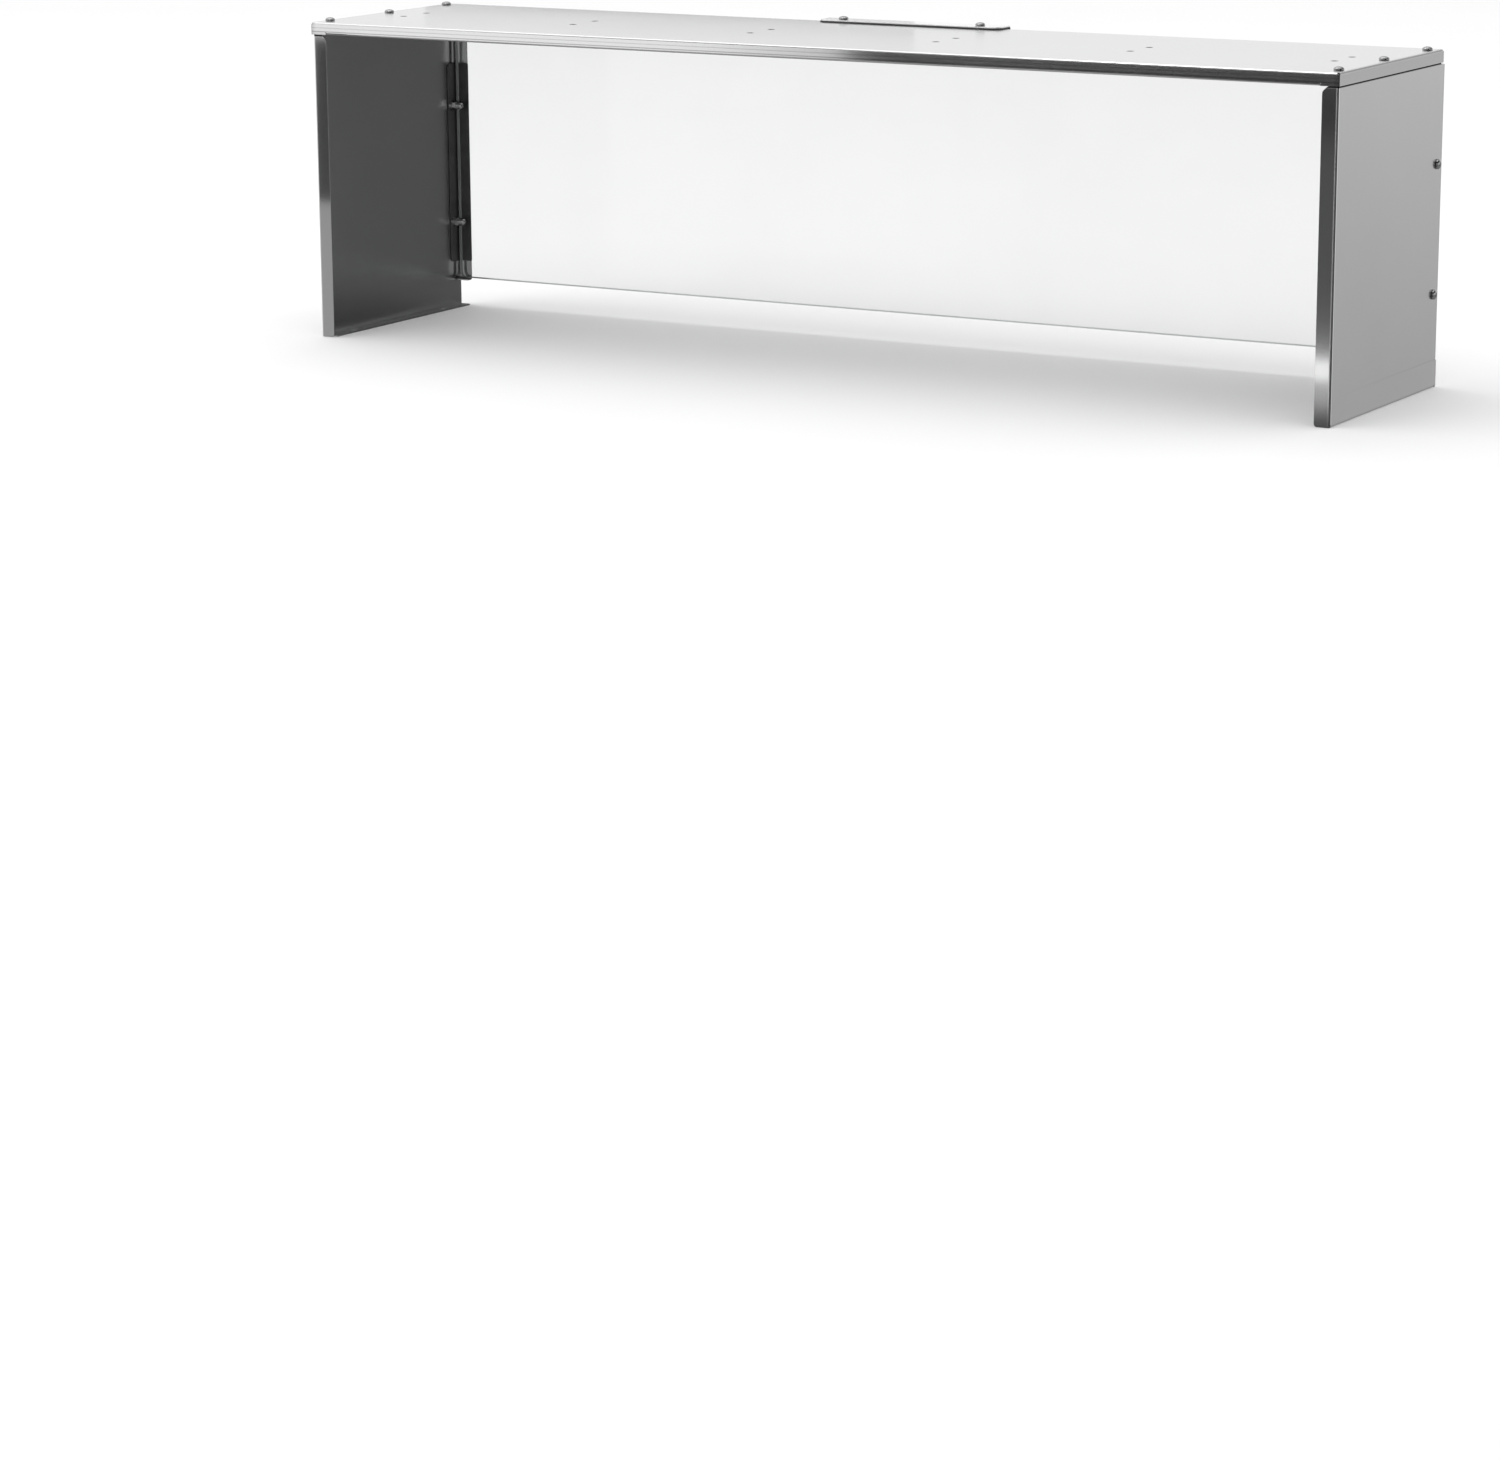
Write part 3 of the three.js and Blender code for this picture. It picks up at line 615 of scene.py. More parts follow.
def glass_pad_mesh(name, hand):
    """The angle strip at the glass edge on the right (hand = 1) or the left (hand = -1)."""
    low, high = box_mm("right_glass_pad")
    bend = PAD_THICKNESS + PAD_INNER_BEND
    line = high.y - bend
    leg_end = line + bend * QUARTER + (high.x - low.x - bend)
    corners = [
        (low.y, low.z, PAD_CORNER),
        (leg_end, low.z, PAD_LEG_CORNER),
        (leg_end, high.z, PAD_LEG_CORNER),
        (low.y, high.z, PAD_CORNER),
    ]
    folds = [fold(0, line, 1, bend)]
    place = side_place(hand, high.x)
    return sheet_mesh(name, rounded(corners), bolt_holes(), folds, PAD_THICKNESS, PAD_EASE, place)


def glass_mesh():
    low, high = box_mm("glass_screen")
    corners = [(low.x, low.z), (high.x, low.z), (high.x, high.z), (low.x, high.z)]
    place = Matrix(((1, 0, 0, 0), (0, 0, -1, low.y), (0, 1, 0, 0), (0, 0, 0, 1)))
    outline = rounded(corners, GLASS_CORNER, GLASS_CORNER_STEPS)
    return sheet_mesh("glass_screen", outline, [], [], high.y - low.y, GLASS_EASE, place)


def rest_pad_mesh(name):
    low, high = box_mm(name)
    corners = [(low.x, low.y), (high.x, low.y), (high.x, high.y), (low.x, high.y)]
    place = Matrix.Translation((0, 0, high.z))
    return sheet_mesh(name, rounded(corners), [], [], high.z - low.z, REST_PAD_EASE, place)


# ---- Turned and hexagonal pieces, standing on z = 0 with their axis up ----


def turned_vertex(made, radius, angle, height):
    place = (radius * math.cos(angle), radius * math.sin(angle), height)
    return made.verts.new([METRE * number for number in place])


def join_rows(made, one, two):
    """Faces between two closed rows of vertices, either of which may be a single point."""
    count = max(len(one), len(two))
    for i in range(count):
        j = (i + 1) % count
        if len(one) == 1:
            made.faces.new((one[0], two[j], two[i]))
        elif len(two) == 1:
            made.faces.new((one[i], one[j], two[0]))
        else:
            made.faces.new((one[i], one[j], two[j], two[i]))


def finished(made, name):
    """The mesh of a bmesh, with its faces turned outward."""
    bmesh.ops.recalc_face_normals(made, faces=made.faces)
    mesh = bpy.data.meshes.new(name)
    made.to_mesh(mesh)
    made.free()
    return mesh


def capped_mesh(made, name, rows):
    """Rows of vertices joined one to the next, with a face over each end."""
    for one, two in zip(rows, rows[1:]):
        join_rows(made, one, two)
    made.faces.new(rows[0])
    made.faces.new(rows[-1])
    return finished(made, name)


def ring_mesh(name, rings, closed=False):
    """A body of rings about Z. A ring is a function of the angle that gives (radius, height).

    A ring of radius 0 at either end is a single point. `closed` joins the last ring to the first.
    """
    made = bmesh.new()
    rows = []
    angles = [2 * math.pi * i / TURN_STEPS for i in range(TURN_STEPS)]
    for ring in rings:
        points = [ring(angle) for angle in angles]
        if max(radius for radius, _ in points) < POINT_RADIUS:
            rows.append([turned_vertex(made, 0.0, 0.0, points[0][1])])
            continue
        row = []
        for angle, (radius, height) in zip(angles, points):
            row.append(turned_vertex(made, radius, angle, height))
        rows.append(row)
    for one, two in zip(rows, rows[1:] + rows[:1] if closed else rows[1:]):
        join_rows(made, one, two)
    return finished(made, name)


def smoothed(mesh):
    mesh.shade_smooth()
    mesh.set_sharp_from_angle(angle=math.radians(SMOOTH_DEGREES))
    return mesh


def plain(radius, height):
    return lambda angle: (radius, height)


def hex_ring(height, limit):
    """A hexagon, cut off where it reaches past `limit` from the axis."""

    def ring(angle):
        within = (angle + math.pi / 6) % (math.pi / 3) - math.pi / 6
        return min(ACROSS_FLATS / 2 / math.cos(within), limit), height

    return ring


def hex_end(base, height):
    """Rings of the chamfered end of a hexagon, from its face at `base` to full corners."""
    corner = ACROSS_FLATS / math.sqrt(3)
    face = ACROSS_FLATS / 2 * HEX_FACE_SHARE
    rings = []
    for i in range(HEX_END_STEPS + 1):
        share = i / HEX_END_STEPS
        rings.append(hex_ring(base + height * share, face + (corner - face) * share))
    return rings


def thread_rings(start, end):
    """Rings of a helical thread from height `start` up to `end`."""
    count = round((end - start) / THREAD_PITCH * RINGS_PER_PITCH)
    root = THREAD_RADIUS - THREAD_DEPTH

    def ring_at(height):
        fade = min((height - start) / THREAD_FADE, (end - height) / THREAD_FADE, 1.0)

        def ring(angle):
            phase = (height / THREAD_PITCH - angle / (2 * math.pi)) % 1.0
            crest = min(CREST_SLOPE * (1 - abs(phase * 2 - 1)), 1.0)
            return root + THREAD_DEPTH * crest * max(fade, 0.0), height

        return ring

    return [ring_at(start + (end - start) * i / count) for i in range(count + 1)]


def dome_rings(radius, base, height, steps, flat=0.0):
    """Rings of a quarter ellipse from its rim up to its crown, with a disc of radius `flat` on top."""
    rings = []
    for i in range(1, steps):
        angle = QUARTER * i / steps
        rings.append(plain(flat + (radius - flat) * math.cos(angle), base + height * math.sin(angle)))
    rings.append(plain(0.0, base + height))
    return rings


def cross_recess(name):
    """The tapered cross of a driver recess, as a solid to cut away."""
    made = bmesh.new()
    rows = []
    for above_crown, share in RECESS_LAYERS:
        height = HEAD_HEIGHT + above_crown
        length = RECESS_LENGTH * share
        width = min(RECESS_WIDTH * (RECESS_TAPER + (1 - RECESS_TAPER) * share), length * RECESS_ROUND)
        row = []
        for quarter in range(4):
            turn = Matrix.Rotation(quarter * QUARTER, 2)
            for corner in ((width, width), (length, width), (length, -width)):
                spot = turn @ Vector(corner)
                row.append(made.verts.new((spot.x * METRE, spot.y * METRE, height * METRE)))
        rows.append(row)
    return capped_mesh(made, name, rows)


def cut_away(mesh, cutter_mesh):
    """`mesh` with the cutter's solid taken out. It is done at a larger scale, where it is exact enough."""
    body = bpy.data.objects.new("body_to_cut", mesh)
    cutter = bpy.data.objects.new("cutter", cutter_mesh)
    for thing in (body, cutter):
        bpy.context.scene.collection.objects.link(thing)
        thing.data.transform(Matrix.Scale(1 / METRE, 4))
    step = body.modifiers.new("cut", "BOOLEAN")
    step.operation = "DIFFERENCE"
    step.solver = "MANIFOLD"
    step.object = cutter
    bpy.context.view_layer.update()
    shown = body.evaluated_get(bpy.context.evaluated_depsgraph_get())
    result = bpy.data.meshes.new_from_object(shown)
    for thing in (body, cutter):
        bpy.data.objects.remove(thing)
    result.transform(Matrix.Scale(METRE, 4))
    result.materials.clear()
    return result


def pan_screw_mesh(name, length):
    """A pan head screw, its head standing on z = 0 and its thread below."""
    rings = [plain(0.0, -length), plain(THREAD_RADIUS - TIP_CHAMFER, -length)]
    rings += thread_rings(THREAD_START - length, -THREAD_END)
    rings += [plain(THREAD_RADIUS - NECK_GROOVE, -NECK_LENGTH), plain(THREAD_RADIUS, 0.0)]
    rings += [plain(HEAD_RADIUS - HEAD_EASE, 0.0), plain(HEAD_RADIUS - HEAD_EDGE, HEAD_EDGE)]
    rings += [plain(HEAD_RADIUS, HEAD_EASE), plain(HEAD_RADIUS, HEAD_RIM)]
    rings += dome_rings(HEAD_RADIUS, HEAD_RIM, HEAD_HEIGHT - HEAD_RIM, HEAD_STEPS, HEAD_FLAT)
    return smoothed(cut_away(ring_mesh(name, rings), cross_recess(name + "_recess")))


def hex_nut_mesh(name, height):
    mouth = NUT_BORE + BORE_CHAMFER
    rings = [plain(NUT_BORE, height - MOUTH_DEPTH), plain(NUT_BORE, MOUTH_DEPTH), plain(mouth, 0.0)]
    rings += hex_end(0.0, HEX_CHAMFER)
    rings += list(reversed(hex_end(height, -HEX_CHAMFER)))
    rings += [plain(mouth, height)]
    return smoothed(ring_mesh(name, rings, closed=True))


def dome_nut_mesh(name, height):
    bore_end, dome_base = height - BLIND_BORE_END, height - DOME_RADIUS
    rings = [plain(0.0, bore_end + BORE_CONE), plain(NUT_BORE, bore_end)]
    rings += [plain(NUT_BORE, MOUTH_DEPTH), plain(NUT_BORE + BORE_CHAMFER, 0.0)]
    rings += hex_end(0.0, DOME_HEX_CHAMFER)
    rings += list(reversed(hex_end(DOME_HEX_HEIGHT, -DOME_HEX_CHAMFER)))
    rings += [plain(DOME_RADIUS + DOME_FOOT_FLARE, DOME_HEX_HEIGHT)]
    rings += [plain(DOME_RADIUS, DOME_HEX_HEIGHT + DOME_FOOT_HEIGHT), plain(DOME_RADIUS, dome_base)]
    rings += dome_rings(DOME_RADIUS, dome_base, DOME_RADIUS, DOME_STEPS)
    return smoothed(ring_mesh(name, rings))


def washer_profile(rim, thick):
    """Radii and heights round a washer's section."""
    bore, ease = WASHER_BORE, WASHER_EASE
    under = [(bore, ease), (bore + ease, 0), (rim - ease, 0), (rim, ease)]
    over = [(rim, thick - ease), (rim - ease, thick), (bore + ease, thick), (bore, thick - ease)]
    return under + over


def flat_washer_mesh(name):
    profile = washer_profile(FLAT_WASHER_RIM, FLAT_WASHER_THICKNESS)
    return smoothed(ring_mesh(name, [plain(*point) for point in profile], closed=True))


def spring_washer_mesh(name):
    """A split ring whose two ends stand a little apart in height."""
    profile = washer_profile(SPRING_WASHER_RIM, SPRING_WASHER_THICKNESS)
    made = bmesh.new()
    rows = []
    for i in range(TURN_STEPS + 1):
        share = i / TURN_STEPS
        angle = SPRING_WASHER_SLIT + (2 * math.pi - 2 * SPRING_WASHER_SLIT) * share
        lift = SPRING_WASHER_RISE * share
        rows.append([turned_vertex(made, radius, angle, height + lift) for radius, height in profile])
    return smoothed(capped_mesh(made, name, rows))


# ---- Materials ----


class Nodes:
    """A short way to build a material's nodes."""

    def __init__(self, name):
        self.material = bpy.data.materials.new(name)
        self.material.use_nodes = True
        self.tree = self.material.node_tree
        self.shader = self.tree.nodes["Principled BSDF"]
        self.output = self.tree.nodes["Material Output"]

    def add(self, kind, settings=None, **inputs):
        node = self.tree.nodes.new("ShaderNode" + kind)
        for key, value in (settings or {}).items():
            setattr(node, key, value)
        for key, value in inputs.items():
            self.feed(node.inputs[key.replace("_", " ")], value)
        return node

    def feed(self, socket, value):
        if isinstance(value, bpy.types.NodeSocket):
            self.tree.links.new(value, socket)
        else:
            socket.default_value = value

    def place(self):
        """Where a point lies on its own object, in metres."""
        return self.add("TexCoord").outputs["Object"]

    def noise(self, vector, cells, detail, roughness):
        """Noise between 0 and 1, with so many cells in a metre of each axis."""
        mapping = self.add("Mapping", Vector=vector, Scale=cells)
        texture = self.add(
            "TexNoise",
            Vector=mapping.outputs["Vector"],
            Scale=1.0,
            Detail=detail,
            Roughness=roughness,
        )
        return texture.outputs["Fac"]

    def ranged(self, value, low, high, start=0.3, end=0.7):
        """`low` to `high`, as the value goes from `start` to `end`."""
        spread = self.add(
            "MapRange",
            Value=value,
            From_Min=start,
            From_Max=end,
            To_Min=low,
            To_Max=high,
        )
        return spread.outputs["Result"]

    def two_tone(self, value, dark, light, start=0.3, end=0.7):
        """One colour to another, as the value goes from `start` to `end`."""
        ramp = self.add("ValToRGB", Fac=value)
        for stop, place, colour in zip(ramp.color_ramp.elements, (start, end), (dark, light)):
            stop.position = place
            stop.color = (*colour, 1.0)
        return ramp.outputs["Color"]

    def maths(self, operation, *values):
        node = self.add("Math", {"operation": operation})
        for socket, value in zip(node.inputs, values):
            self.feed(socket, value)
        return node.outputs["Value"]

    def multiplied(self, colour, shade):
        mix = self.add("Mix", {"data_type": "RGBA", "blend_type": "MULTIPLY"})
        for socket, value in zip(MIX_INPUTS, (1.0, colour, shade)):
            self.feed(mix.inputs[socket], value)
        return mix.outputs[MIX_OUTPUT]

    def set(self, **inputs):
        for key, value in inputs.items():
            self.feed(self.shader.inputs[key.replace("_", " ")], value)


def painted_hole_shade(nodes, flat):
    """1 on the sheet, and low on a ring of painted shade round each lamp hole."""
    pitch = (LAMP_HOLE_COLUMNS[1] - LAMP_HOLE_COLUMNS[0]) * METRE
    row_middle = (LAMP_HOLE_ROWS[1] + LAMP_HOLE_ROWS[0]) / 2 * METRE
    row_reach = (LAMP_HOLE_ROWS[1] - LAMP_HOLE_ROWS[0]) / 2 * METRE
    spot = nodes.add("SeparateXYZ", Vector=flat).outputs
    along = nodes.maths("SUBTRACT", spot["X"], LAMP_HOLE_COLUMNS[0] * METRE)
    along = nodes.maths("WRAP", along, pitch / 2, -pitch / 2)
    across = nodes.maths("ABSOLUTE", nodes.maths("SUBTRACT", spot["Y"], row_middle))
    across = nodes.maths("SUBTRACT", across, row_reach)
    away = nodes.add("CombineXYZ", X=along, Y=across).outputs["Vector"]
    length = nodes.add("VectorMath", {"operation": "LENGTH"})
    nodes.feed(length.inputs[0], away)
    near, far = [(LAMP_HOLE_RADIUS + width) * METRE for width in HOLE_SHADE_WIDTH]
    return nodes.ranged(length.outputs["Value"], HOLE_SHADE_TONE, 1.0, near, far)


def brushed_steel(name, tone, lines=(), hole_shaded=False):
    """Satin stainless sheet of one grey, whose grain runs along U of its flat pattern.

    Each of `lines` is a band of painted shade or painted highlight across "X" (U) or "Y" (V), with how
    much of its tone it keeps.
    """
    nodes = Nodes(name)
    flat = nodes.add("UVMap", {"uv_map": FLAT_UV}).outputs["UV"]
    grain = nodes.noise(flat, GRAIN_CELLS, 3.0, 0.6)
    cloud = nodes.noise(flat, CLOUD_CELLS, 3.0, 0.55)
    streaks = nodes.ranged(grain, 0.975, 1.01, *GRAIN_RANGE)
    shade = nodes.maths("MULTIPLY", streaks, nodes.ranged(cloud, 0.985, 1.01))
    metal = 1.0
    spot = nodes.add("SeparateXYZ", Vector=flat).outputs
    for line in lines:
        away = nodes.maths("ABSOLUTE", nodes.maths("SUBTRACT", spot[line.axis], line.middle * METRE))
        reach = line.reach * METRE
        band = nodes.ranged(away, line.kept, 1.0, reach * LINE_CORE, reach)
        shade = nodes.maths("MULTIPLY", shade, band)
        # a dark painted line stops mirroring as well
        if line.kept < DARK_LINE:
            metal = nodes.maths("MULTIPLY", metal, band)
    # painted shade round the lamp holes: darker, and not mirroring
    if hole_shaded:
        ring = painted_hole_shade(nodes, flat)
        shade = nodes.maths("MULTIPLY", shade, ring)
        metal = nodes.maths("MULTIPLY", metal, ring)
    rough = nodes.ranged(grain, *STEEL_ROUGHNESS, *GRAIN_RANGE)
    bump = nodes.add("Bump", Strength=0.06, Distance=0.00002, Height=grain)
    tangent = nodes.add("Tangent", {"direction_type": "UV_MAP", "uv_map": FLAT_UV})
    nodes.set(
        Base_Color=nodes.multiplied((tone, tone, tone * 1.005, 1.0), shade),
        Metallic=metal,
        Roughness=nodes.maths("ADD", rough, nodes.ranged(cloud, -0.01, 0.01)),
        Anisotropic=0.4,
        Anisotropic_Rotation=0.25,
        Normal=bump.outputs["Normal"],
        Tangent=tangent.outputs["Tangent"],
    )
    if metal != 1.0:
        nodes.set(Specular_IOR_Level=nodes.maths("MULTIPLY", metal, PLAIN_SPECULAR))
    return nodes.material


def shaded_cut_edge():
    """The shelf's cut edges and hole walls: rough, and painted near black as shade."""
    nodes = Nodes("shaded_cut_edge")
    tear = nodes.noise(nodes.place(), (3000.0, 3000.0, 500.0), 3.0, 0.6)
    # painted shade: near black
    colour = nodes.two_tone(tear, (0.010, 0.010, 0.010), (0.035, 0.035, 0.036))
    nodes.set(Base_Color=colour, Roughness=nodes.ranged(tear, 0.6, 0.8))
    return nodes.material


def bright_steel():
    """Polished fasteners, with faint handling marks, and a grey painted darker than polished steel for the
    dark reflections in their heads.
    """
    nodes = Nodes("bright_steel")
    marks = nodes.noise(nodes.place(), (900.0, 900.0, 900.0), 4.0, 0.6)
    bump = nodes.add("Bump", Strength=0.15, Distance=0.00003, Height=marks)
    nodes.set(
        # painted shade: a darker grey than polished steel
        Base_Color=nodes.two_tone(marks, (0.26, 0.26, 0.265), (0.40, 0.40, 0.405), end=0.6),
        Metallic=1.0,
        Roughness=nodes.ranged(marks, 0.08, 0.18),
        Normal=bump.outputs["Normal"],
    )
    return nodes.material


def black_rubber():
    """Matt rubber, a little dusty in patches."""
    nodes = Nodes("black_rubber")
    place = nodes.place()
    grit = nodes.noise(place, (1500.0, 1500.0, 1500.0), 4.0, 0.7)
    dust = nodes.noise(place, (60.0, 60.0, 60.0), 3.0, 0.6)
    bump = nodes.add("Bump", Strength=0.4, Distance=0.00006, Height=grit)
    nodes.set(
        Base_Color=nodes.two_tone(dust, (0.038, 0.038, 0.038), (0.060, 0.060, 0.061), 0.35, 0.75),
        Roughness=nodes.ranged(grit, 0.40, 0.60),
        Normal=bump.outputs["Normal"],
    )
    return nodes.material


def clear_glass():
    """The faces of tempered glass: a clear pane that mirrors a little, with a faint haze."""
    nodes = Nodes("clear_glass")
    haze = nodes.noise(nodes.place(), (11.0, 11.0, 11.0), 3.0, 0.6)
    tint = nodes.two_tone(haze, (0.912, 0.914, 0.913), (0.920, 0.922, 0.921))
    through = nodes.add("BsdfTransparent", Color=tint)
    mirror = nodes.add("BsdfGlossy", Roughness=nodes.ranged(haze, 0.01, 0.04))
    slant = nodes.add("LayerWeight", Blend=0.03)
    join = nodes.add("MixShader")
    ways = (slant.outputs["Facing"], through.outputs["BSDF"], mirror.outputs["BSDF"])
    for socket, value in zip(join.inputs, ways):
        nodes.feed(socket, value)
    nodes.feed(nodes.output.inputs["Surface"], join.outputs["Shader"])
    nodes.tree.nodes.remove(nodes.shader)
    return nodes.material


def ground_glass():
    """The ground edge of the glass: pale grey green, and painted dark near its ends for the black pad that
    shows through it there.
    """
    nodes = Nodes("ground_glass")
    place = nodes.place()
    grind = nodes.noise(place, (1200.0, 1200.0, 1200.0), 3.0, 0.6)
    colour = nodes.two_tone(grind, (0.70, 0.73, 0.72), (0.80, 0.83, 0.82))
    along = nodes.maths("ABSOLUTE", nodes.add("SeparateXYZ", Vector=place).outputs["X"])
    shade = nodes.ranged(along, 1.0, EDGE_SHADE, *EDGE_SHADE_X)
    nodes.set(
        Base_Color=nodes.multiplied(colour, shade),
        Roughness=nodes.ranged(grind, 0.15, 0.4),
    )
    return nodes.material


def floor_material():
    nodes = Nodes("floor")
    mottle = nodes.noise(nodes.place(), (3.0, 3.0, 3.0), 2.0, 0.5)
    colour = nodes.two_tone(mottle, (0.89, 0.89, 0.89), (0.91, 0.91, 0.91), 0.0, 1.0)
    nodes.set(Base_Color=colour, Roughness=0.9, Specular_IOR_Level=0.1)
    return nodes.material


# ---- Building ----


def shelf_lines():
    """Two faint dark lines along the front lip, and painted shade over the side lips, darker still along
    their bends.
    """
    low, high = box_mm("top_panel")
    lip = low.y + TOP_BEND - TOP_BEND * QUARTER
    lines = [Line("Y", lip - 3.2, 0.6, 0.80), Line("Y", lip - 6.9, 0.7, 0.62)]
    for hand in (-1, 1):
        side_fold = hand * (high.x - TOP_BEND)
        # painted shade over each side lip, and a darker painted line at its bend
        lines.append(Line("X", side_fold + hand * 8, 12, 0.78))
        lines.append(Line("X", side_fold + hand * 2, 1, 0.5))
    return lines


def end_lines():
    """Painted shadow under the lip, and at the front bend a painted reflection: a dark line between two
    painted highlights.
    """
    bend = box_mm("right_end_panel")[0].y + SIDE_BEND
    return [
        # painted shadow under the lip
        Line("Y", box_mm("top_panel")[0].z - 0.1, 2.1, 0.02),
        # painted dark reflection along the front bend
        Line("X", bend - 0.8, 0.9, 0.05),
        # painted highlights on both sides of it
        Line("X", bend + 0.8, 0.8, 1.45),
        Line("X", bend - 2.6, 1.0, 1.3),
    ]


def glass_pane():
    """The pane, clear on its two faces and ground on its edges."""
    pane = glass_mesh()
    pane.materials.append(clear_glass())
    pane.materials.append(ground_glass())
    for polygon in pane.polygons:
        polygon.material_index = 0 if abs(polygon.normal.y) > FACE_NORMAL else 1
    return pane


def build_sheets():
    shelf_steel = brushed_steel("shelf_steel", SHELF_TONE, shelf_lines(), hole_shaded=True)
    end_steel = brushed_steel("end_steel", END_TONE, end_lines())
    clip_steel = brushed_steel("clip_steel", CLIP_TONE)
    rubber = black_rubber()
    shelf = top_panel_mesh()
    shelf.materials.append(shelf_steel)
    shelf.materials.append(shaded_cut_edge())
    add_piece("top_shelf", shelf, shelf_steel, ["top_panel"])
    for name, hand in (("right", 1), ("left", -1)):
        panel = end_panel_mesh(f"{name}_end", hand)
        add_piece(f"{name}_end", panel, end_steel, [f"{name}_end_panel"])
        pad = glass_pad_mesh(f"{name}_edge_rubber", hand)
        add_piece(f"{name}_edge_rubber", pad, rubber, [f"{name}_glass_pad"])
        rest = rest_pad_mesh(f"{name}_rest_pad")
        add_piece(f"{name}_rest_rubber", rest, rubber, [f"{name}_rest_pad"])
    clip = clip_mesh("top_clip", SIDE_SHEET)
    add_piece("glass_clip", clip, clip_steel, ["top_clip"])
    clip_pad = clip_mesh("top_clip_pad", PAD_THICKNESS)
    add_piece("glass_clip_rubber", clip_pad, rubber, ["top_clip_pad"])
    pane = glass_pane()
    add_piece("glass_pane", pane, pane.materials[0], ["glass_screen"])


def upright(node, upward, spin):
    """Stands a fastener on its node's seat: the underside of a head, or a nut's upper face."""
    low, high = box_mm(node)
    spot = (low + high) / 2
    spot.z = high.z - HEAD_HEIGHT if upward else high.z
    flip = Matrix.Identity(4) if upward else Matrix.Rotation(math.pi, 4, "X")
    return Matrix.Translation(spot * METRE) @ flip @ Matrix.Rotation(math.radians(spin), 4, "Z")


def sideways(node, outward, hand, spin):
    """Lays a fastener along X: a head faces outward, and a washer or nut faces inward."""
    low, high = box_mm(node)
    spot = (low + high) / 2
    outer = high.x if hand > 0 else low.x
    spot.x = outer - hand * HEAD_HEIGHT if outward else outer
    way = hand if outward else -hand
    lay = Matrix.Rotation(way * QUARTER, 4, "Y")
    return Matrix.Translation(spot * METRE) @ lay @ Matrix.Rotation(math.radians(spin), 4, "Z")


def build_fasteners():
    bright = bright_steel()
    low, high = box_mm("top_screw_right_front")
    short_screw = pan_screw_mesh("pan_screw", high.z - low.z - HEAD_HEIGHT)
    low, high = box_mm("side_bolt_right_upper")
    long_screw = pan_screw_mesh("pan_bolt", high.x - low.x - HEAD_HEIGHT)
    low, high = box_mm("top_nut_right_front")
    nut = hex_nut_mesh("hex_nut", high.z - low.z)
    low, high = box_mm("dome_nut_right_upper")
    dome = dome_nut_mesh("dome_nut", high.x - low.x)
    side_kit = {
        "side_bolt": (long_screw, True),
        "flat_washer": (flat_washer_mesh("flat_washer"), False),
        "spring_washer": (spring_washer_mesh("spring_washer"), False),
        "dome_nut": (dome, False),
    }
    spin = FIRST_SPIN
    for node in sorted(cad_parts):
        spin = (spin * SPIN_FACTOR + SPIN_STEP) % 360
        hand = 1 if "_right" in node else -1
        kind = node.split("_left")[0].split("_right")[0]
        if kind in ("top_screw", "clip_screw"):
            mesh, place = short_screw, upright(node, True, spin)
        elif kind in ("top_nut", "clip_nut"):
            mesh, place = nut, upright(node, False, spin)
        elif kind in side_kit:
            mesh, outward = side_kit[kind]
            place = sideways(node, outward, hand, spin)
        else:
            continue
        add_piece("fine_" + node, mesh, bright, [node], place)


# ---- Camera, light and floor ----


def add_camera():
    azimuth, elevation = math.radians(CAMERA_AZIMUTH), math.radians(CAMERA_ELEVATION)
    back = Vector(
        (
            math.sin(azimuth) * math.cos(elevation),
            -math.cos(azimuth) * math.cos(elevation),
            math.sin(elevation),
        )
    )
    data = bpy.data.cameras.new("camera")
    data.sensor_width = SENSOR_WIDTH
    data.lens = CAMERA_LENS
    data.clip_start, data.clip_end = CAMERA_CLIP
    camera = bpy.data.objects.new("camera", data)
    bpy.context.scene.collection.objects.link(camera)
    camera.location = CAMERA_PLACE
    camera.rotation_mode = "QUATERNION"
    roll = Matrix.Rotation(math.radians(CAMERA_ROLL), 3, "Z").to_quaternion()
    camera.rotation_quaternion = (-back).to_track_quat("-Z", "Y") @ roll
    bpy.context.scene.camera = camera


def add_rectangle(name, corners, material):
    mesh = bpy.data.meshes.new(name)
    mesh.from_pydata(corners, [], [(0, 1, 2, 3)])
    mesh.materials.append(material)
    rectangle = bpy.data.objects.new(name, mesh)
    bpy.context.scene.collection.objects.link(rectangle)
    return rectangle


def add_floor():
    """A pale floor that reflections don't see, so that the metal mirrors only the cards and the sky."""
    reach = FLOOR_REACH
    corners = [(-reach, -reach, 0), (reach, -reach, 0), (reach, reach, 0), (-reach, reach, 0)]
    floor = add_rectangle("floor", corners, floor_material())
    floor.visible_glossy = False


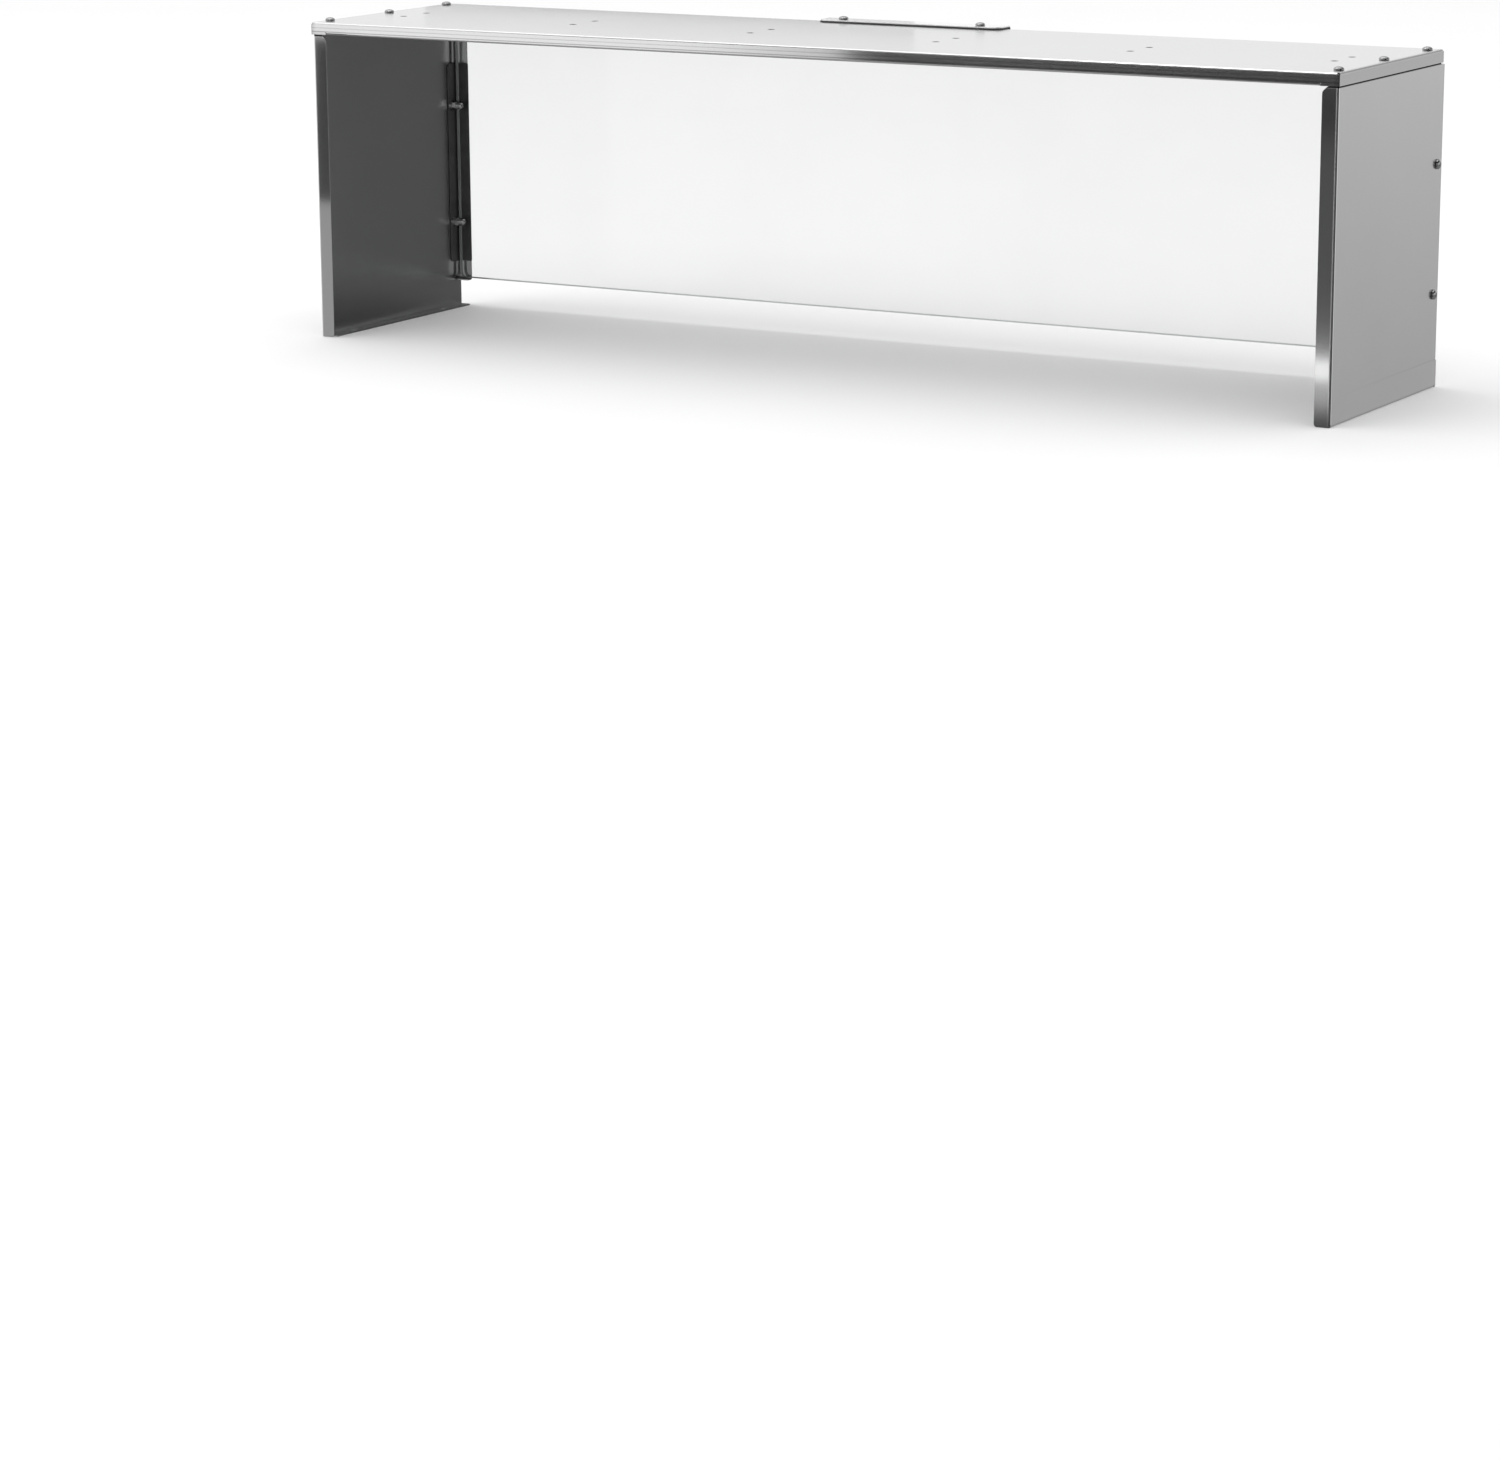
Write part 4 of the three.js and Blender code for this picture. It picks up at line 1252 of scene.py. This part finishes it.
def add_softbox():
    data = bpy.data.lights.new("overhead", "AREA")
    data.shape = "RECTANGLE"
    data.size, data.size_y = SOFTBOX_SIZE
    data.energy = SOFTBOX_POWER
    light = bpy.data.objects.new("overhead", data)
    bpy.context.scene.collection.objects.link(light)
    light.location = SOFTBOX_PLACE
    aim = Vector(SOFTBOX_TARGET) - Vector(SOFTBOX_PLACE)
    light.rotation_euler = aim.to_track_quat("-Z", "Y").to_euler()


def add_card(name, corners, tone):
    """A card or flag that only reflections see, to give the metal something to mirror."""
    paint = bpy.data.materials.new(name)
    paint.use_nodes = True
    tree = paint.node_tree
    tree.nodes.remove(tree.nodes["Principled BSDF"])
    glow = tree.nodes.new("ShaderNodeEmission")
    glow.inputs["Color"].default_value = WHITE
    glow.inputs["Strength"].default_value = tone
    tree.links.new(glow.outputs["Emission"], tree.nodes["Material Output"].inputs["Surface"])
    card = add_rectangle(name, corners, paint)
    card.visible_camera = False
    card.visible_diffuse = False
    card.visible_transmission = False
    card.visible_shadow = False


def add_cards():
    add_card("gleam", GLEAM_CORNERS, GLEAM_TONE)
    for card in CARDS:
        foot = list(zip(card.x, card.y))
        low = [(x, y, card.z[0]) for x, y in foot]
        high = [(x, y, card.z[1]) for x, y in reversed(foot)]
        add_card(card.name, low + high, card.tone)


def add_sky():
    """An even white sky over a darker ground."""
    world = bpy.data.worlds.new("studio")
    bpy.context.scene.world = world
    world.use_nodes = True
    tree = world.node_tree
    sky = tree.nodes["Background"]
    sky.inputs["Color"].default_value = WHITE
    split = tree.nodes.new("ShaderNodeSeparateXYZ")
    tree.links.new(tree.nodes.new("ShaderNodeTexCoord").outputs["Generated"], split.inputs[0])
    ramp = tree.nodes.new("ShaderNodeMapRange")
    tree.links.new(split.outputs["Z"], ramp.inputs["Value"])
    ramp.inputs["From Min"].default_value, ramp.inputs["From Max"].default_value = HORIZON_FADE
    ramp.inputs["To Min"].default_value = BELOW_HORIZON
    ramp.inputs["To Max"].default_value = ABOVE_HORIZON
    tree.links.new(ramp.outputs["Result"], sky.inputs["Strength"])


add_camera()
build_sheets()
build_fasteners()
add_floor()
add_sky()
add_softbox()
add_cards()
bpy.context.scene.view_settings.view_transform = "Standard"
